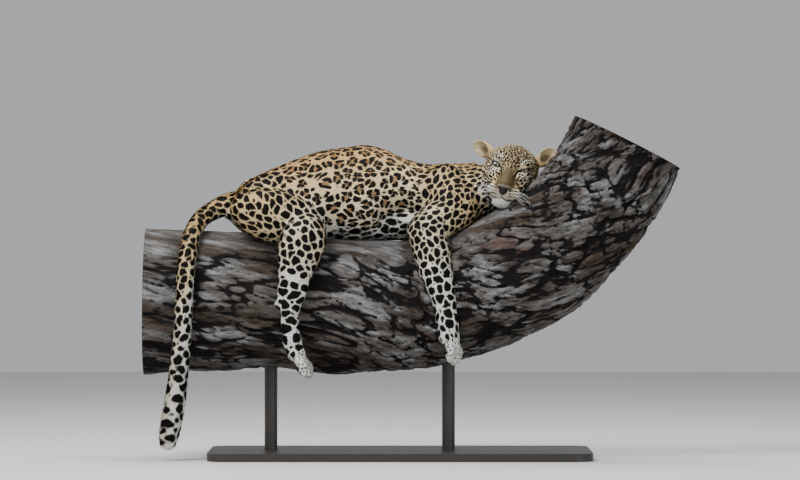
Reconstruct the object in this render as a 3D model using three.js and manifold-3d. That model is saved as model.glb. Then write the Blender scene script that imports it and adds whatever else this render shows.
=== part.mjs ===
// A leopard draped along a cut length of limb, life size, on a plain display stand.
// Millimetres, +Z up. +X runs from the tail to the chest, and -Y is the animal's right side.
// The flesh is one smooth field of eggs and tapered rounds. Each piece is drawn from it at a lattice
// step of its own, and ends at flat cuts that it shares with its neighbours.
import * as THREE from "three";
import { mergeVertices } from "three/addons/utils/BufferGeometryUtils.js";
import Module from "manifold-3d";

const wasm = await Module();
wasm.setup();

// Driving sizes
const GAP = 0.3; // between neighbouring pieces
const BARK_GAP = 0.6; // between the coat and the bark
const ROOM = 0.9; // around the root of an ear and around the nose pad
const BASE = { length: 1180, width: 560, thick: 25, round: 60 };
const ROD = { radius: 20, socket: 45, places: [[-400, 0], [150, -15]] };
// Lattice steps for the skin of each place. Pieces that meet along an oblique block share one step.
const STEP = {
  trunk: 28.5,
  lower: 21,
  cannon: 17,
  paw: 12,
  head: 24.6,
  ear: 6.4,
  pad: 7,
  nostril: 4.2,
};
const EYE_RADIUS = 15.5;
const LID = 3.2; // thickness of the lids
// The blocks that part the upper legs from the trunk: half sizes, a point of the inner face and the long way
const HAUNCH = { half: [176, 90, 150], at: [-396, 82, 742], along: [1, 0, 0.02] };
const SHOULDER = { half: [118, 90, 170], at: [122, 92, 775], along: [0.97, 0, 0.24] };
const BLOCK_OUT = [0, 0.93, -0.36]; // the way that both blocks face on the left
const BALL_SIDES = [14, 9]; // round and up an eye
const TAIL_SIDES = 12;
const TAIL_LONG = 850; // along its middle line
const TAIL_PARTS = ["root", "upper", "middle", "lower", "tip"];

// Small vector helpers on plain triples
const add = (a, b) => a.map((v, i) => v + b[i]);
const sub = (a, b) => a.map((v, i) => v - b[i]);
const scale = (a, s) => a.map((v) => v * s);
const dot = (a, b) => a[0] * b[0] + a[1] * b[1] + a[2] * b[2];
const cross = (a, b) => [a[1] * b[2] - a[2] * b[1], a[2] * b[0] - a[0] * b[2], a[0] * b[1] - a[1] * b[0]];
const size = (a) => Math.sqrt(dot(a, a));
const unit = (a) => scale(a, 1 / size(a));
const mix = (a, b, t) => a + (b - a) * t;
const radians = THREE.MathUtils.degToRad;

// A form is { d: distance at a point, at: its centre, reach: how far it matters, blend, cut }.
// An egg: an ellipsoid of three radii, turned about Z, then Y, then X, in degrees.
function egg(at, radii, blend, turn = [0, 0, 0], cut = false) {
  const m = new THREE.Matrix4().makeRotationFromEuler(
    new THREE.Euler(...turn.map(radians), "XYZ"),
  ).elements;
  const d = (x, y, z) => {
    const px = x - at[0];
    const py = y - at[1];
    const pz = z - at[2];
    const u = (m[0] * px + m[1] * py + m[2] * pz) / radii[0];
    const v = (m[4] * px + m[5] * py + m[6] * pz) / radii[1];
    const w = (m[8] * px + m[9] * py + m[10] * pz) / radii[2];
    const k0 = Math.sqrt(u * u + v * v + w * w);
    const k1 = Math.sqrt((u / radii[0]) ** 2 + (v / radii[1]) ** 2 + (w / radii[2]) ** 2);
    return k1 < 1e-9 ? -Math.min(...radii) : (k0 * (k0 - 1)) / k1;
  };
  return { d, at, reach: Math.max(...radii), blend, cut };
}

// A tapered round from a to b, squeezed by the factor flat along the direction across.
function taper(a, b, ra, rb, blend, flat = 1, across = [0, 1, 0], cut = false) {
  const n = unit(across);
  const squeeze = (p) => add(p, scale(n, dot(sub(p, a), n) * (1 / flat - 1)));
  const end = squeeze(b);
  const ba = sub(end, a);
  const l2 = dot(ba, ba);
  const rr = ra - rb;
  const a2 = l2 - rr * rr;
  const d = (x, y, z) => {
    const s = ((x - a[0]) * n[0] + (y - a[1]) * n[1] + (z - a[2]) * n[2]) * (1 / flat - 1);
    const px = x - a[0] + n[0] * s;
    const py = y - a[1] + n[1] * s;
    const pz = z - a[2] + n[2] * s;
    const along = px * ba[0] + py * ba[1] + pz * ba[2];
    const past = along - l2;
    const qx = px * l2 - ba[0] * along;
    const qy = py * l2 - ba[1] * along;
    const qz = pz * l2 - ba[2] * along;
    const x2 = qx * qx + qy * qy + qz * qz;
    const y2 = along * along * l2;
    const z2 = past * past * l2;
    const k = Math.sign(rr) * rr * rr * x2;
    if (Math.sign(past) * a2 * z2 > k) return Math.sqrt(x2 + z2) / l2 - rb;
    if (Math.sign(along) * a2 * y2 < k) return Math.sqrt(x2 + y2) / l2 - ra;
    return (Math.sqrt((x2 * a2) / l2) + along * rr) / l2 - ra;
  };
  const at = scale(add(a, b), 0.5);
  return { d, at, reach: size(sub(b, a)) / 2 + Math.max(ra, rb), blend, cut };
}

// A chain of tapered rounds through stations [x, y, z, radius].
function chain(stations, blend, flat = 1, across = [0, 1, 0]) {
  return stations.slice(1).map((s, i) => {
    const p = stations[i];
    return taper(p.slice(0, 3), s.slice(0, 3), p[3], s[3], blend, flat, across);
  });
}

// The value at x of a smooth curve through rows of [x, ...values].
function curveThrough(rows) {
  return (x) => {
    const last = rows.length - 1;
    const t = Math.min(Math.max(x, rows[0][0]), rows[last][0]);
    let i = 0;
    while (i < last - 1 && t > rows[i + 1][0]) i += 1;
    const span = rows[i + 1][0] - rows[i][0];
    const f = (t - rows[i][0]) / span;
    const slope = (j, c) => {
      const lo = Math.max(j - 1, 0);
      const hi = Math.min(j + 1, last);
      return (rows[hi][c] - rows[lo][c]) / (rows[hi][0] - rows[lo][0]);
    };
    return rows[0].slice(1).map((_, n) => {
      const c = n + 1;
      const h00 = (1 + 2 * f) * (1 - f) ** 2;
      const h10 = f * (1 - f) ** 2;
      const h01 = f * f * (3 - 2 * f);
      const h11 = f * f * (f - 1);
      const tilt = h10 * slope(i, c) + h11 * slope(i + 1, c);
      return h00 * rows[i][c] + h01 * rows[i + 1][c] + tilt * span;
    });
  };
}

// A trunk along X with an elliptical section from rows of [x, middle y, middle z, half height, half width].
function trunk(rows, blend) {
  const at = curveThrough(rows);
  const first = rows[0][0];
  const last = rows[rows.length - 1][0];
  const d = (x, y, z) => {
    const [cy, cz, high, wide] = at(x);
    const v = (y - cy) / wide;
    const w = (z - cz) / high;
    const k0 = Math.sqrt(v * v + w * w);
    const k1 = Math.sqrt((v / wide) ** 2 + (w / high) ** 2);
    const side = k1 < 1e-9 ? -Math.min(high, wide) : (k0 * (k0 - 1)) / k1;
    const past = Math.max(first - x, x - last, 0);
    return past > 0 ? Math.hypot(Math.max(side, 0), past) : Math.max(side, first - x, x - last);
  };
  const centre = [(first + last) / 2, 0, 800];
  return { d, at: centre, reach: (last - first) / 2 + 160, blend, cut: false };
}

// All the forms as one field. Each form joins or cuts with its own blend, and is skipped where it is
// out of reach.
function field(forms) {
  return (x, y, z) => {
    let value = 400;
    for (const f of forms) {
      const far = Math.hypot(x - f.at[0], y - f.at[1], z - f.at[2]) - f.reach;
      if (!f.cut && far > value + f.blend) continue;
      const d = f.d(x, y, z);
      const k = f.blend;
      if (f.cut) {
        const h = Math.max(k - Math.abs(value + d), 0) / k;
        value = Math.max(value, -d) + (h * h * k) / 4;
      } else {
        const h = Math.max(k - Math.abs(value - d), 0) / k;
        value = Math.min(value, d) - (h * h * k) / 4;
      }
    }
    return value;
  };
}

// A turned place: forms written in its own axes are moved into the part's frame.
function place(at, right, forward, up) {
  const toPart = (p) => add(at, add(scale(right, p[0]), add(scale(forward, p[1]), scale(up, p[2]))));
  return { at, right, forward, up, toPart };
}

// Axes whose forward is exact and whose up leans as near as it can to the one given.
function axes(forward, up) {
  const f = unit(forward);
  const r = unit(cross(f, up));
  return { right: r, forward: f, up: cross(r, f) };
}

function placed(forms, spot) {
  return forms.map((f) => ({
    ...f,
    at: spot.toPart(f.at),
    d: (x, y, z) => {
      const qx = x - spot.at[0];
      const qy = y - spot.at[1];
      const qz = z - spot.at[2];
      const { right: r, forward: w, up: u } = spot;
      return f.d(
        qx * r[0] + qy * r[1] + qz * r[2],
        qx * w[0] + qy * w[1] + qz * w[2],
        qx * u[0] + qy * u[1] + qz * u[2],
      );
    },
  }));
}

// The head's own axes: +X its right, +Y out of the face, +Z its crown, from midway between the eyes.
const HEAD = { at: [340, -128, 898], yaw: 6, pitch: 2, roll: 13 };
function headPlace() {
  const yaw = radians(HEAD.yaw);
  const pitch = radians(HEAD.pitch);
  const roll = radians(HEAD.roll);
  const forward = [-Math.sin(yaw) * Math.cos(pitch), -Math.cos(yaw) * Math.cos(pitch), Math.sin(pitch)];
  const level = axes(forward, [0, 0, 1]);
  const left = scale(level.right, -1);
  const up = add(scale(level.up, Math.cos(roll)), scale(left, Math.sin(roll)));
  return place(HEAD.at, cross(level.forward, up), level.forward, up);
}
const headSpot = headPlace();

const bothSides = (make) => [-1, 1].flatMap((s) => make(s));

const skullForms = [
  egg([0, -48, 17], [66, 70, 57], 20),
  egg([0, -96, -8], [62, 46, 60], 34),
  ...bothSides((s) => [
    egg([s * 50, -46, 4], [33, 50, 44], 20),
    egg([s * 45, -36, -36], [33, 46, 42], 22),
    egg([s * 34, -34, -76], [30, 40, 30], 26),
    egg([s * 38, 2, 18], [23, 15, 10], 12, [0, s * -14, 0]),
    egg([s * 36, 12, -40], [28, 26, 32], 18),
    taper([s * 42, -30, -82], [s * 14, 28, -104], 26, 19, 20),
  ]),
  taper([0, 2, 6], [0, 60, -60], 25, 21, 14),
  egg([0, 32, -72], [42, 42, 30], 18),
  ...bothSides((s) => [egg([s * 25, 49, -78], [28, 29, 22], 8, [0, 0, s * -16])]),
  egg([0, 42, -110], [30, 26, 20], 12),
];

const padForms = [
  egg([0, 74, -66], [24, 11, 9], 6),
  egg([0, 74, -77], [12.5, 10, 13], 8),
];
const nostrilForms = bothSides((s) => [
  egg([s * 11, 84, -72], [5.4, 7, 3.8], 2, [0, s * 20, 0]),
  taper([s * 13, 81, -73], [s * 21, 70, -69], 2.6, 1.6, 2),
]);

const EYE_AT = (s) => [s * -44, 1, -1]; // s is -1 on the animal's right
const LID_RADIUS = EYE_RADIUS + LID;
const lidForms = bothSides((s) => [egg(EYE_AT(s), [LID_RADIUS, LID_RADIUS, LID_RADIUS], 7)]);
// The slits between the lids: the left one is half shut.
const SLITS = { right: [14, 6.8], left: [15.5, 4.2] };
const SLIT_TURN = 22;
const SLIT_SIDES = [10, 7]; // round and up the slit's cutter

// The line of the mouth, from its middle under the nose to a corner, as [across, height] from in front.
const MOUTH = [[0, -98], [9, -102], [20, -103], [31, -100], [41, -95], [48, -89]];
const LIP_GROOVE = 2.6;

// An ear is a cup: one egg hollowed by another that opens forward.
const earForms = [
  egg([0, 0, 12], [22, 13, 36], 6),
  egg([0, 13, 20], [17, 17, 29], 3, [0, 0, 0], true),
];
const EARS = {
  right: { at: [80, -58, 33], up: [0.92, -0.08, 0.38], open: [0.3, 0.9, -0.35] },
  left: { at: [-82, -58, 42], up: [-0.68, 0, 0.73], open: [-0.1, 0.97, 0.15] },
};
function earPlace(ear) {
  const up = unit(ear.up);
  const side = unit(cross(ear.open, up));
  return place(ear.at, side, cross(up, side), up);
}

// The torso: the ribcage and belly as one trunk, with the breastbone's keel under the chest.
const torsoForms = [
  trunk(
    [
      [-540, 0, 776, 30, 34],
      [-510, 0, 776, 52, 56],
      [-465, 0, 777, 83, 80],
      [-428, 0, 781, 102, 92],
      [-341, 0, 796, 124, 108],
      [-248, 0, 811, 141, 120],
      [-155, 4, 819, 147, 128],
      [-102, 6, 823, 148, 130],
      [-46, 8, 836, 121, 126],
      [0, 9, 840, 95, 120],
      [62, 10, 826, 90, 114],
      [124, 8, 817, 92, 106],
      [186, 4, 815, 92, 96],
      [232, 0, 830, 80, 82],
    ],
    20,
  ),
  taper([-60, 6, 748], [190, 0, 760], 74, 76, 14, 0.95),
];

const neckForms = [
  taper([160, 4, 820], [262, -22, 824], 80, 74, 40),
  taper([262, -22, 824], [330, -40, 858], 74, 64, 30),
  egg([205, -6, 778], [62, 78, 72], 36),
];

// Legs, written for one side: s is -1 on the right and 1 on the left, and lag moves the left ones along.
function hindLegForms(s, lag) {
  const x = (v) => v + lag;
  return [
    egg([x(-410), s * 62, 795], [92, 62, 82], 36),
    egg([x(-378), s * 116, 745], [150, 60, 84], 30, [s * -12, 14, 0]),
    egg([x(-285), s * 158, 703], [60, 46, 56], 26, [0, 20, 0]),
    ...chain(
      [
        [x(-298), s * 176, 672, 74],
        [x(-310), s * 184, 628, 64],
        [x(-321), s * 195, 573, 51],
        [x(-329), s * 205, 520, 44],
        [x(-336), s * 211, 470, 30],
        [x(-336), s * 214, 424, 26.5],
        [x(-330), s * 215, 368, 27],
        [x(-316), s * 216, 330, 26],
      ],
      14,
      0.8,
    ),
    taper([x(-350), s * 209, 512], [x(-366), s * 211, 482], 22, 19, 14, 0.8),
  ];
}

function foreLegForms(s, lag) {
  const x = (v) => v + lag;
  return [
    egg([x(128), s * 74, 832], [58, 38, 82], 30, [0, 24, 0]),
    egg([x(168), s * 92, 786], [80, 54, 84], 30, [0, 30, 0]),
    taper([x(160), s * 112, 766], [x(84), s * 160, 706], 66, 58, 24, 0.8),
    ...chain(
      [
        [x(84), s * 168, 694, 60],
        [x(98), s * 190, 636, 57],
        [x(110), s * 206, 582, 50],
        [x(124), s * 216, 535, 42.5],
        [x(135), s * 222, 489, 36],
        [x(143), s * 225, 433, 32],
        [x(149), s * 226, 385, 33],
      ],
      16,
      0.86,
    ),
    taper([x(70), s * 172, 690], [x(44), s * 174, 694], 36, 22, 18, 0.8),
  ];
}

// A paw in its own axes: +Y to the toe tips, +Z its back, four toes fanned across X.
function pawForms(wide) {
  const toes = [-1.5, -0.5, 0.5, 1.5].flatMap((n) => {
    const x = n * 16.5 * wide;
    const long = Math.abs(n) > 1 ? 36 : 46;
    return [
      taper([x * 0.75, 2, 4], [x * 1.02, long * 0.62, 7], 14, 13, 8),
      egg([x * 1.06, long * 0.92, 0], [12.4, 18, 13.5], 6, [-24, 0, 0]),
      egg([x * 1.06, long * 0.86, -10], [9, 12, 6.5], 3),
    ];
  });
  return [
    taper([0, -34, 2], [0, 4, 2], 25, 25 * wide, 16, 0.8, [0, 0, 1]),
    ...toes,
    egg([0, 2, -14], [25 * wide, 18, 9], 5),
  ];
}
const PAWS = {
  hind_right: { at: [-304, -217, 304], forward: [0.55, -0.12, -0.83], up: [0.72, -0.3, 0.5], wide: 0.95 },
  hind_left: { at: [-322, 217, 300], forward: [0.5, 0.12, -0.86], up: [0.75, 0.3, 0.5], wide: 0.95 },
  fore_right: { at: [158, -227, 352], forward: [0.22, -0.06, -0.97], up: [0.86, -0.42, 0.2], wide: 1.1 },
  fore_left: { at: [133, 219, 352], forward: [0.24, 0.06, -0.97], up: [0.86, 0.42, 0.2], wide: 1.1 },
};
const LAG = { hind: -18, fore: -25 };

const TAIL = [
  [-512, 0, 790, 36],
  [-545, -6, 781, 30],
  [-580, -22, 765, 26],
  [-612, -52, 742, 25],
  [-634, -98, 706, 25],
  [-648, -146, 652, 26],
  [-654, -178, 596, 26.5],
  [-658, -200, 530, 26],
  [-661, -208, 460, 25.5],
  [-664, -210, 390, 25.5],
  [-670, -210, 320, 26],
  [-678, -209, 250, 27],
  [-686, -208, 190, 28],
  [-697, -207, 125, 28.5],
  [-708, -206, 66, 26],
];

// The limb: rows of [x, y, z, half height, half width] along its middle line.
const LIMB = [
  [-790, 0, 489, 222, 178],
  [-465, 0, 484, 214, 178],
  [-155, 0, 474, 206, 180],
  [60, -6, 474, 200, 184],
  [210, -40, 506, 196, 192],
  [345, -78, 572, 194, 200],
  [470, -96, 660, 190, 200],
  [565, -100, 755, 187, 196],
  [642, -100, 860, 185, 192],
  [700, -100, 975, 184, 190],
];
const LIMB_SIDES = 24;
const LIMB_RINGS = 21;
const LIMB_SQUARE = 2.3; // 2 is an ellipse, more is squarer

const sgnPow = (v, e) => Math.sign(v) * Math.abs(v) ** e;
function smoothLine(rows) {
  const points = rows.map((r) => new THREE.Vector3(r[0], r[1], r[2]));
  return new THREE.CatmullRomCurve3(points, false, "centripetal");
}

// The limb's closed skin: superelliptic rings along a smooth line, with slow swellings.
function limbGeometry(grow) {
  const line = smoothLine(LIMB);
  const radii = (t) => {
    const at = t * (LIMB.length - 1);
    const i = Math.min(Math.floor(at), LIMB.length - 2);
    return [3, 4].map((c) => mix(LIMB[i][c], LIMB[i + 1][c], at - i) + grow);
  };
  const points = [];
  for (let i = 0; i <= LIMB_RINGS; i += 1) {
    const t = i / LIMB_RINGS;
    const c = line.getPoint(t);
    const along = line.getTangent(t);
    const side = new THREE.Vector3().crossVectors(new THREE.Vector3(0, 0, 1), along).normalize();
    const lift = new THREE.Vector3().crossVectors(along, side);
    const [high, wide] = radii(t);
    const end = i === 0 ? -grow : i === LIMB_RINGS ? grow : 0;
    for (let j = 0; j < LIMB_SIDES; j += 1) {
      const a = (2 * Math.PI * j) / LIMB_SIDES;
      const swell = 1 + limbSwell(c.x, a);
      const u = sgnPow(Math.cos(a), 2 / LIMB_SQUARE) * wide * swell;
      const v = sgnPow(Math.sin(a), 2 / LIMB_SQUARE) * high * swell;
      points.push(c.clone().addScaledVector(side, u).addScaledVector(lift, v).addScaledVector(along, end));
    }
  }
  return closedTube(points, LIMB_SIDES, LIMB_RINGS);
}

// Slow swellings of the limb, as a share of its radius, least on top where the animal lies.
function limbSwell(x, a) {
  const under = 0.5 - 0.5 * Math.sin(a);
  return under * (0.035 * Math.sin(x / 95 + 2 * a) + 0.02 * Math.sin(x / 48 - 3 * a + 1));
}

// Rings of points joined into a closed tube with a flat fan at each end.
function closedTube(points, sides, rings) {
  const at = (i, j) => i * sides + (j % sides);
  const faces = [];
  for (let i = 0; i < rings; i += 1) {
    for (let j = 0; j < sides; j += 1) {
      faces.push(at(i, j), at(i, j + 1), at(i + 1, j + 1), at(i, j), at(i + 1, j + 1), at(i + 1, j));
    }
  }
  const all = points.map((p) => p.clone());
  for (const i of [0, rings]) {
    const middle = new THREE.Vector3();
    for (let j = 0; j < sides; j += 1) middle.addScaledVector(points[at(i, j)], 1 / sides);
    all.push(middle);
    for (let j = 0; j < sides; j += 1) {
      if (i === 0) faces.push(all.length - 1, at(i, j + 1), at(i, j));
      else faces.push(all.length - 1, at(i, j), at(i, j + 1));
    }
  }
  return geometryFrom(all.flatMap((p) => [p.x, p.y, p.z]), faces);
}

function geometryFrom(positions, faces) {
  const g = new THREE.BufferGeometry();
  g.setAttribute("position", new THREE.Float32BufferAttribute(positions, 3));
  g.setIndex(faces);
  return g;
}

// The lattice is drawn in towards the face and the paws, where the forms are small.
const FINE = [
  { at: add(HEAD.at, [6, 8, -32]), pull: 0.62, spread: 105 },
  ...Object.values(PAWS).map((p) => ({ at: p.at, pull: 0.42, spread: 62 })),
];
function drawnIn(q, fine) {
  const p = [...q];
  for (const f of fine) {
    const r = sub(q, f.at);
    const w = f.pull * Math.exp(-dot(r, r) / (2 * f.spread ** 2));
    for (let i = 0; i < 3; i += 1) p[i] -= r[i] * w;
  }
  return p;
}

// The surface where the field is zero, one point to each lattice cell that it crosses. The lattice
// starts at whole steps from the origin, so that two boxes with one step share their points.
function surfaceOf(value, from, high, step, fine = []) {
  const low = from.map((v) => Math.floor(v / step) * step);
  const n = low.map((v, i) => Math.ceil((high[i] - v) / step) + 1);
  const key = (i, j, k) => (k * n[1] + j) * n[0] + i;
  const where = new Float64Array(n[0] * n[1] * n[2] * 3);
  const values = new Float64Array(n[0] * n[1] * n[2]);
  for (let k = 0; k < n[2]; k += 1) {
    for (let j = 0; j < n[1]; j += 1) {
      for (let i = 0; i < n[0]; i += 1) {
        const p = drawnIn([low[0] + i * step, low[1] + j * step, low[2] + k * step], fine);
        const at = key(i, j, k);
        where.set(p, at * 3);
        values[at] = value(p[0], p[1], p[2]);
        const rim = i === 0 || j === 0 || k === 0 || i === n[0] - 1 || j === n[1] - 1 || k === n[2] - 1;
        if (rim) values[at] = Math.max(values[at], step / 4);
      }
    }
  }
  settle(values, n, step);
  const corners = [0, 1, 2, 3, 4, 5, 6, 7].map((c) => [c & 1, (c >> 1) & 1, (c >> 2) & 1]);
  const edges = [];
  const apart = (a, b) => Math.abs(a[0] - b[0]) + Math.abs(a[1] - b[1]) + Math.abs(a[2] - b[2]);
  corners.forEach((a, i) => corners.forEach((b, j) => {
    if (i < j && apart(a, b) === 1) edges.push([i, j]);
  }));
  const positions = [];
  const point = new Map();
  for (let k = 0; k < n[2] - 1; k += 1) {
    for (let j = 0; j < n[1] - 1; j += 1) {
      for (let i = 0; i < n[0] - 1; i += 1) {
        const at = corners.map((c) => key(i + c[0], j + c[1], k + c[2]));
        const sum = [0, 0, 0];
        let count = 0;
        for (const [a, b] of edges) {
          const va = values[at[a]];
          const vb = values[at[b]];
          if (va < 0 === vb < 0) continue;
          const t = va / (va - vb);
          for (let c = 0; c < 3; c += 1) sum[c] += mix(where[at[a] * 3 + c], where[at[b] * 3 + c], t);
          count += 1;
        }
        if (!count) continue;
        point.set(key(i, j, k), positions.length / 3);
        positions.push(sum[0] / count, sum[1] / count, sum[2] / count);
      }
    }
  }
  const faces = [];
  const steps = [[1, 0, 0], [0, 1, 0], [0, 0, 1]];
  for (let k = 0; k < n[2] - 1; k += 1) {
    for (let j = 0; j < n[1] - 1; j += 1) {
      for (let i = 0; i < n[0] - 1; i += 1) {
        const here = values[key(i, j, k)] < 0;
        steps.forEach((s, axis) => {
          if ([i, j, k].some((v, c) => v === 0 && c !== axis)) return;
          const there = values[key(i + s[0], j + s[1], k + s[2])] < 0;
          if (here === there) return;
          const [u, v] = [steps[(axis + 1) % 3], steps[(axis + 2) % 3]];
          const quad = [[1, 1], [0, 1], [0, 0], [1, 0]].map(([a, b]) =>
            point.get(key(i - a * u[0] - b * v[0], j - a * u[1] - b * v[1], k - a * u[2] - b * v[2])),
          );
          if (!here) quad.reverse();
          faces.push(...splitQuad(quad, positions));
        });
      }
    }
  }
  return geometryFrom(positions, faces);
}

// A lattice square with only its two opposite corners inside takes in a third, so that the skin never
// meets itself along an edge.
function settle(values, n, step) {
  const strides = [1, n[0], n[0] * n[1]];
  for (let changed = 1, pass = 0; changed && pass < 20; pass += 1) {
    changed = 0;
    for (const [u, v] of [[0, 1], [1, 2], [0, 2]]) {
      for (let at = 0; at < values.length - strides[u] - strides[v]; at += 1) {
        const [a, b] = [at, at + strides[u] + strides[v]];
        const [c, d] = [at + strides[u], at + strides[v]];
        const inside = [a, b, c, d].map((i) => values[i] < 0);
        if (inside[0] !== inside[1] || inside[2] !== inside[3] || inside[0] === inside[2]) continue;
        const [e, f] = inside[0] ? [c, d] : [a, b];
        values[values[e] < values[f] ? e : f] = -step / 50;
        changed += 1;
      }
    }
  }
}

// Two triangles for a quad, parted along its shorter diagonal.
function splitQuad([a, b, c, d], positions) {
  const gap = (i, j) => Math.hypot(...[0, 1, 2].map((n) => positions[3 * i + n] - positions[3 * j + n]));
  return gap(a, c) < gap(b, d) ? [a, b, c, a, c, d] : [a, b, d, b, c, d];
}

const grownBy = (value, grow) => (x, y, z) => value(x, y, z) - grow;

// Solids for joining and cutting
function solid(geometry) {
  const g = geometry.clone();
  g.deleteAttribute("normal");
  g.deleteAttribute("uv");
  const merged = mergeVertices(g, 1e-4);
  return new wasm.Manifold(
    new wasm.Mesh({
      numProp: 3,
      vertProperties: merged.attributes.position.array,
      triVerts: new Uint32Array(merged.index.array),
    }),
  );
}
function biggest(s) {
  return s.decompose().reduce((a, b) => (b.volume() > a.volume() ? b : a));
}
function geometryOf(s) {
  const mesh = s.getMesh();
  return geometryFrom([...mesh.vertProperties], [...mesh.triVerts]);
}

// The matrix that turns a form to three axes and moves it to a place.
function turnedTo(x, y, z, at) {
  const m = new THREE.Matrix4();
  m.makeBasis(new THREE.Vector3(...x), new THREE.Vector3(...y), new THREE.Vector3(...z));
  return m.setPosition(...at);
}

// A block with its middle, its half sizes and its axes, used as a cutter.
function block(at, half, right = [1, 0, 0], up = [0, 0, 1]) {
  const z = unit(up);
  const y = unit(cross(z, right));
  const x = cross(y, z);
  return new THREE.BoxGeometry(...half.map((h) => h * 2)).applyMatrix4(turnedTo(x, y, z, at));
}

// The whole animal's flesh
const headForms = placed([...skullForms, ...lidForms], headSpot);
const bodyForms = [
  ...torsoForms,
  ...hindLegForms(-1, 0),
  ...hindLegForms(1, LAG.hind),
  ...foreLegForms(-1, 0),
  ...foreLegForms(1, LAG.fore),
  ...neckForms,
  ...chain(TAIL, 12),
  ...Object.values(PAWS).flatMap((p) => {
    const a = axes(p.forward, p.up);
    return placed(pawForms(p.wide), place(p.at, a.right, a.forward, a.up));
  }),
];
const flesh = field([...bodyForms, ...headForms]);

const group = new THREE.Group();
const look = {
  coat: new THREE.MeshStandardMaterial({ color: 0xc9a36a, roughness: 0.85, metalness: 0 }),
  ear: new THREE.MeshStandardMaterial({ color: 0xb89468, roughness: 0.85, metalness: 0 }),
  nose: new THREE.MeshStandardMaterial({ color: 0x2a211f, roughness: 0.5, metalness: 0 }),
  eye: new THREE.MeshStandardMaterial({ color: 0x6f7a4a, roughness: 0.15, metalness: 0 }),
  bark: new THREE.MeshStandardMaterial({ color: 0x6a5e55, roughness: 0.95, metalness: 0 }),
  stand: new THREE.MeshStandardMaterial({ color: 0x2b2622, roughness: 0.5, metalness: 0 }),
};
function addNode(name, s, material) {
  const mesh = new THREE.Mesh(geometryOf(s), material);
  mesh.name = name;
  group.add(mesh);
}

const limb = solid(limbGeometry(0));
const limbRoom = solid(limbGeometry(BARK_GAP));

// Where two lengths of the animal part: a point of the cut and the way it faces.
const CUTS = {
  tailRoot: { at: [-536, -4, 784], facing: [-0.98, -0.08, -0.18] },
  hips: { at: [-262, 0, 810], facing: [-1, 0, 0.1] },
  belly: { at: [-60, 0, 800], facing: [-1, 0, 0.05] },
  neck: { at: [205, 0, 850], facing: [0.89, 0.02, 0.455] },
  throat: { at: [262, -60, 870], facing: [0.75, -0.66, 0.02] },
};
const HUGE = 900;
// The half of space that a cut faces, set back by half the gap.
function beyond(cut, turned = 1) {
  const out = scale(unit(cut.facing), turned);
  const any = Math.abs(out[1]) > 0.8 ? [1, 0, 0] : [0, 1, 0];
  const right = unit(cross(any, out));
  return solid(block(add(cut.at, scale(out, HUGE + GAP / 2)), [HUGE, HUGE, HUGE], right, out));
}

// The piece of flesh inside a box, at its own lattice step, kept between its cuts.
function fleshPiece(low, high, step, cuts, without = [], fine = []) {
  let s = solid(surfaceOf(flesh, low, high, step, fine));
  for (const c of cuts) s = s.intersect(beyond(c.cut, c.turned));
  for (const w of [limbRoom, ...without]) s = s.subtract(w);
  return biggest(s);
}
const past = (cut) => ({ cut, turned: 1 });
const before = (cut) => ({ cut, turned: -1 });

// Each ear, and the room that the head and neck leave for its root
const earSolids = Object.entries(EARS).map(([side, ear]) => {
  const value = field(placed(placed(earForms, earPlace(ear)), headSpot));
  return {
    side,
    keep: littleSolid(value, ear.at, 84, STEP.ear),
    room: littleSolid(grownBy(value, ROOM), ear.at, 84, STEP.ear),
  };
});

// An upper leg comes away from the trunk inside an oblique block.
function parting(sizes, s, lag, grow) {
  const out = unit([BLOCK_OUT[0], s * BLOCK_OUT[1], BLOCK_OUT[2]]);
  const along = unit(sizes.along);
  const inner = [sizes.at[0] + lag, s * sizes.at[1], sizes.at[2]];
  const half = sizes.half.map((h) => h + grow);
  return solid(block(add(inner, scale(out, sizes.half[1])), half, along, cross(along, out)));
}
const SIDES = [["right", -1], ["left", 1]];
const haunches = SIDES.map(([, s]) => parting(HAUNCH, s, s > 0 ? LAG.hind : 0, GAP));
const shoulders = SIDES.map(([, s]) => parting(SHOULDER, s, s > 0 ? LAG.fore : 0, GAP));

const addFlesh = (name, ...how) => addNode(name, fleshPiece(...how), look.coat);
const hipCuts = [before(CUTS.tailRoot), past(CUTS.hips)];
addFlesh("hips", [-600, -200, 600], [-220, 200, 1000], STEP.trunk, hipCuts, haunches);
const bellyCuts = [before(CUTS.hips), past(CUTS.belly)];
addFlesh("belly", [-320, -200, 600], [0, 200, 1010], STEP.trunk, bellyCuts, haunches);
const chestCuts = [before(CUTS.belly), before(CUTS.neck)];
addFlesh("chest", [-120, -220, 600], [320, 220, 1010], STEP.trunk, chestCuts, shoulders);
const neckCuts = [past(CUTS.neck), before(CUTS.throat)];
const neckRooms = [...shoulders, ...earSolids.map((e) => e.room)];
addFlesh("neck", [120, -220, 600], [420, 200, 1010], STEP.trunk, neckCuts, neckRooms);

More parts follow.
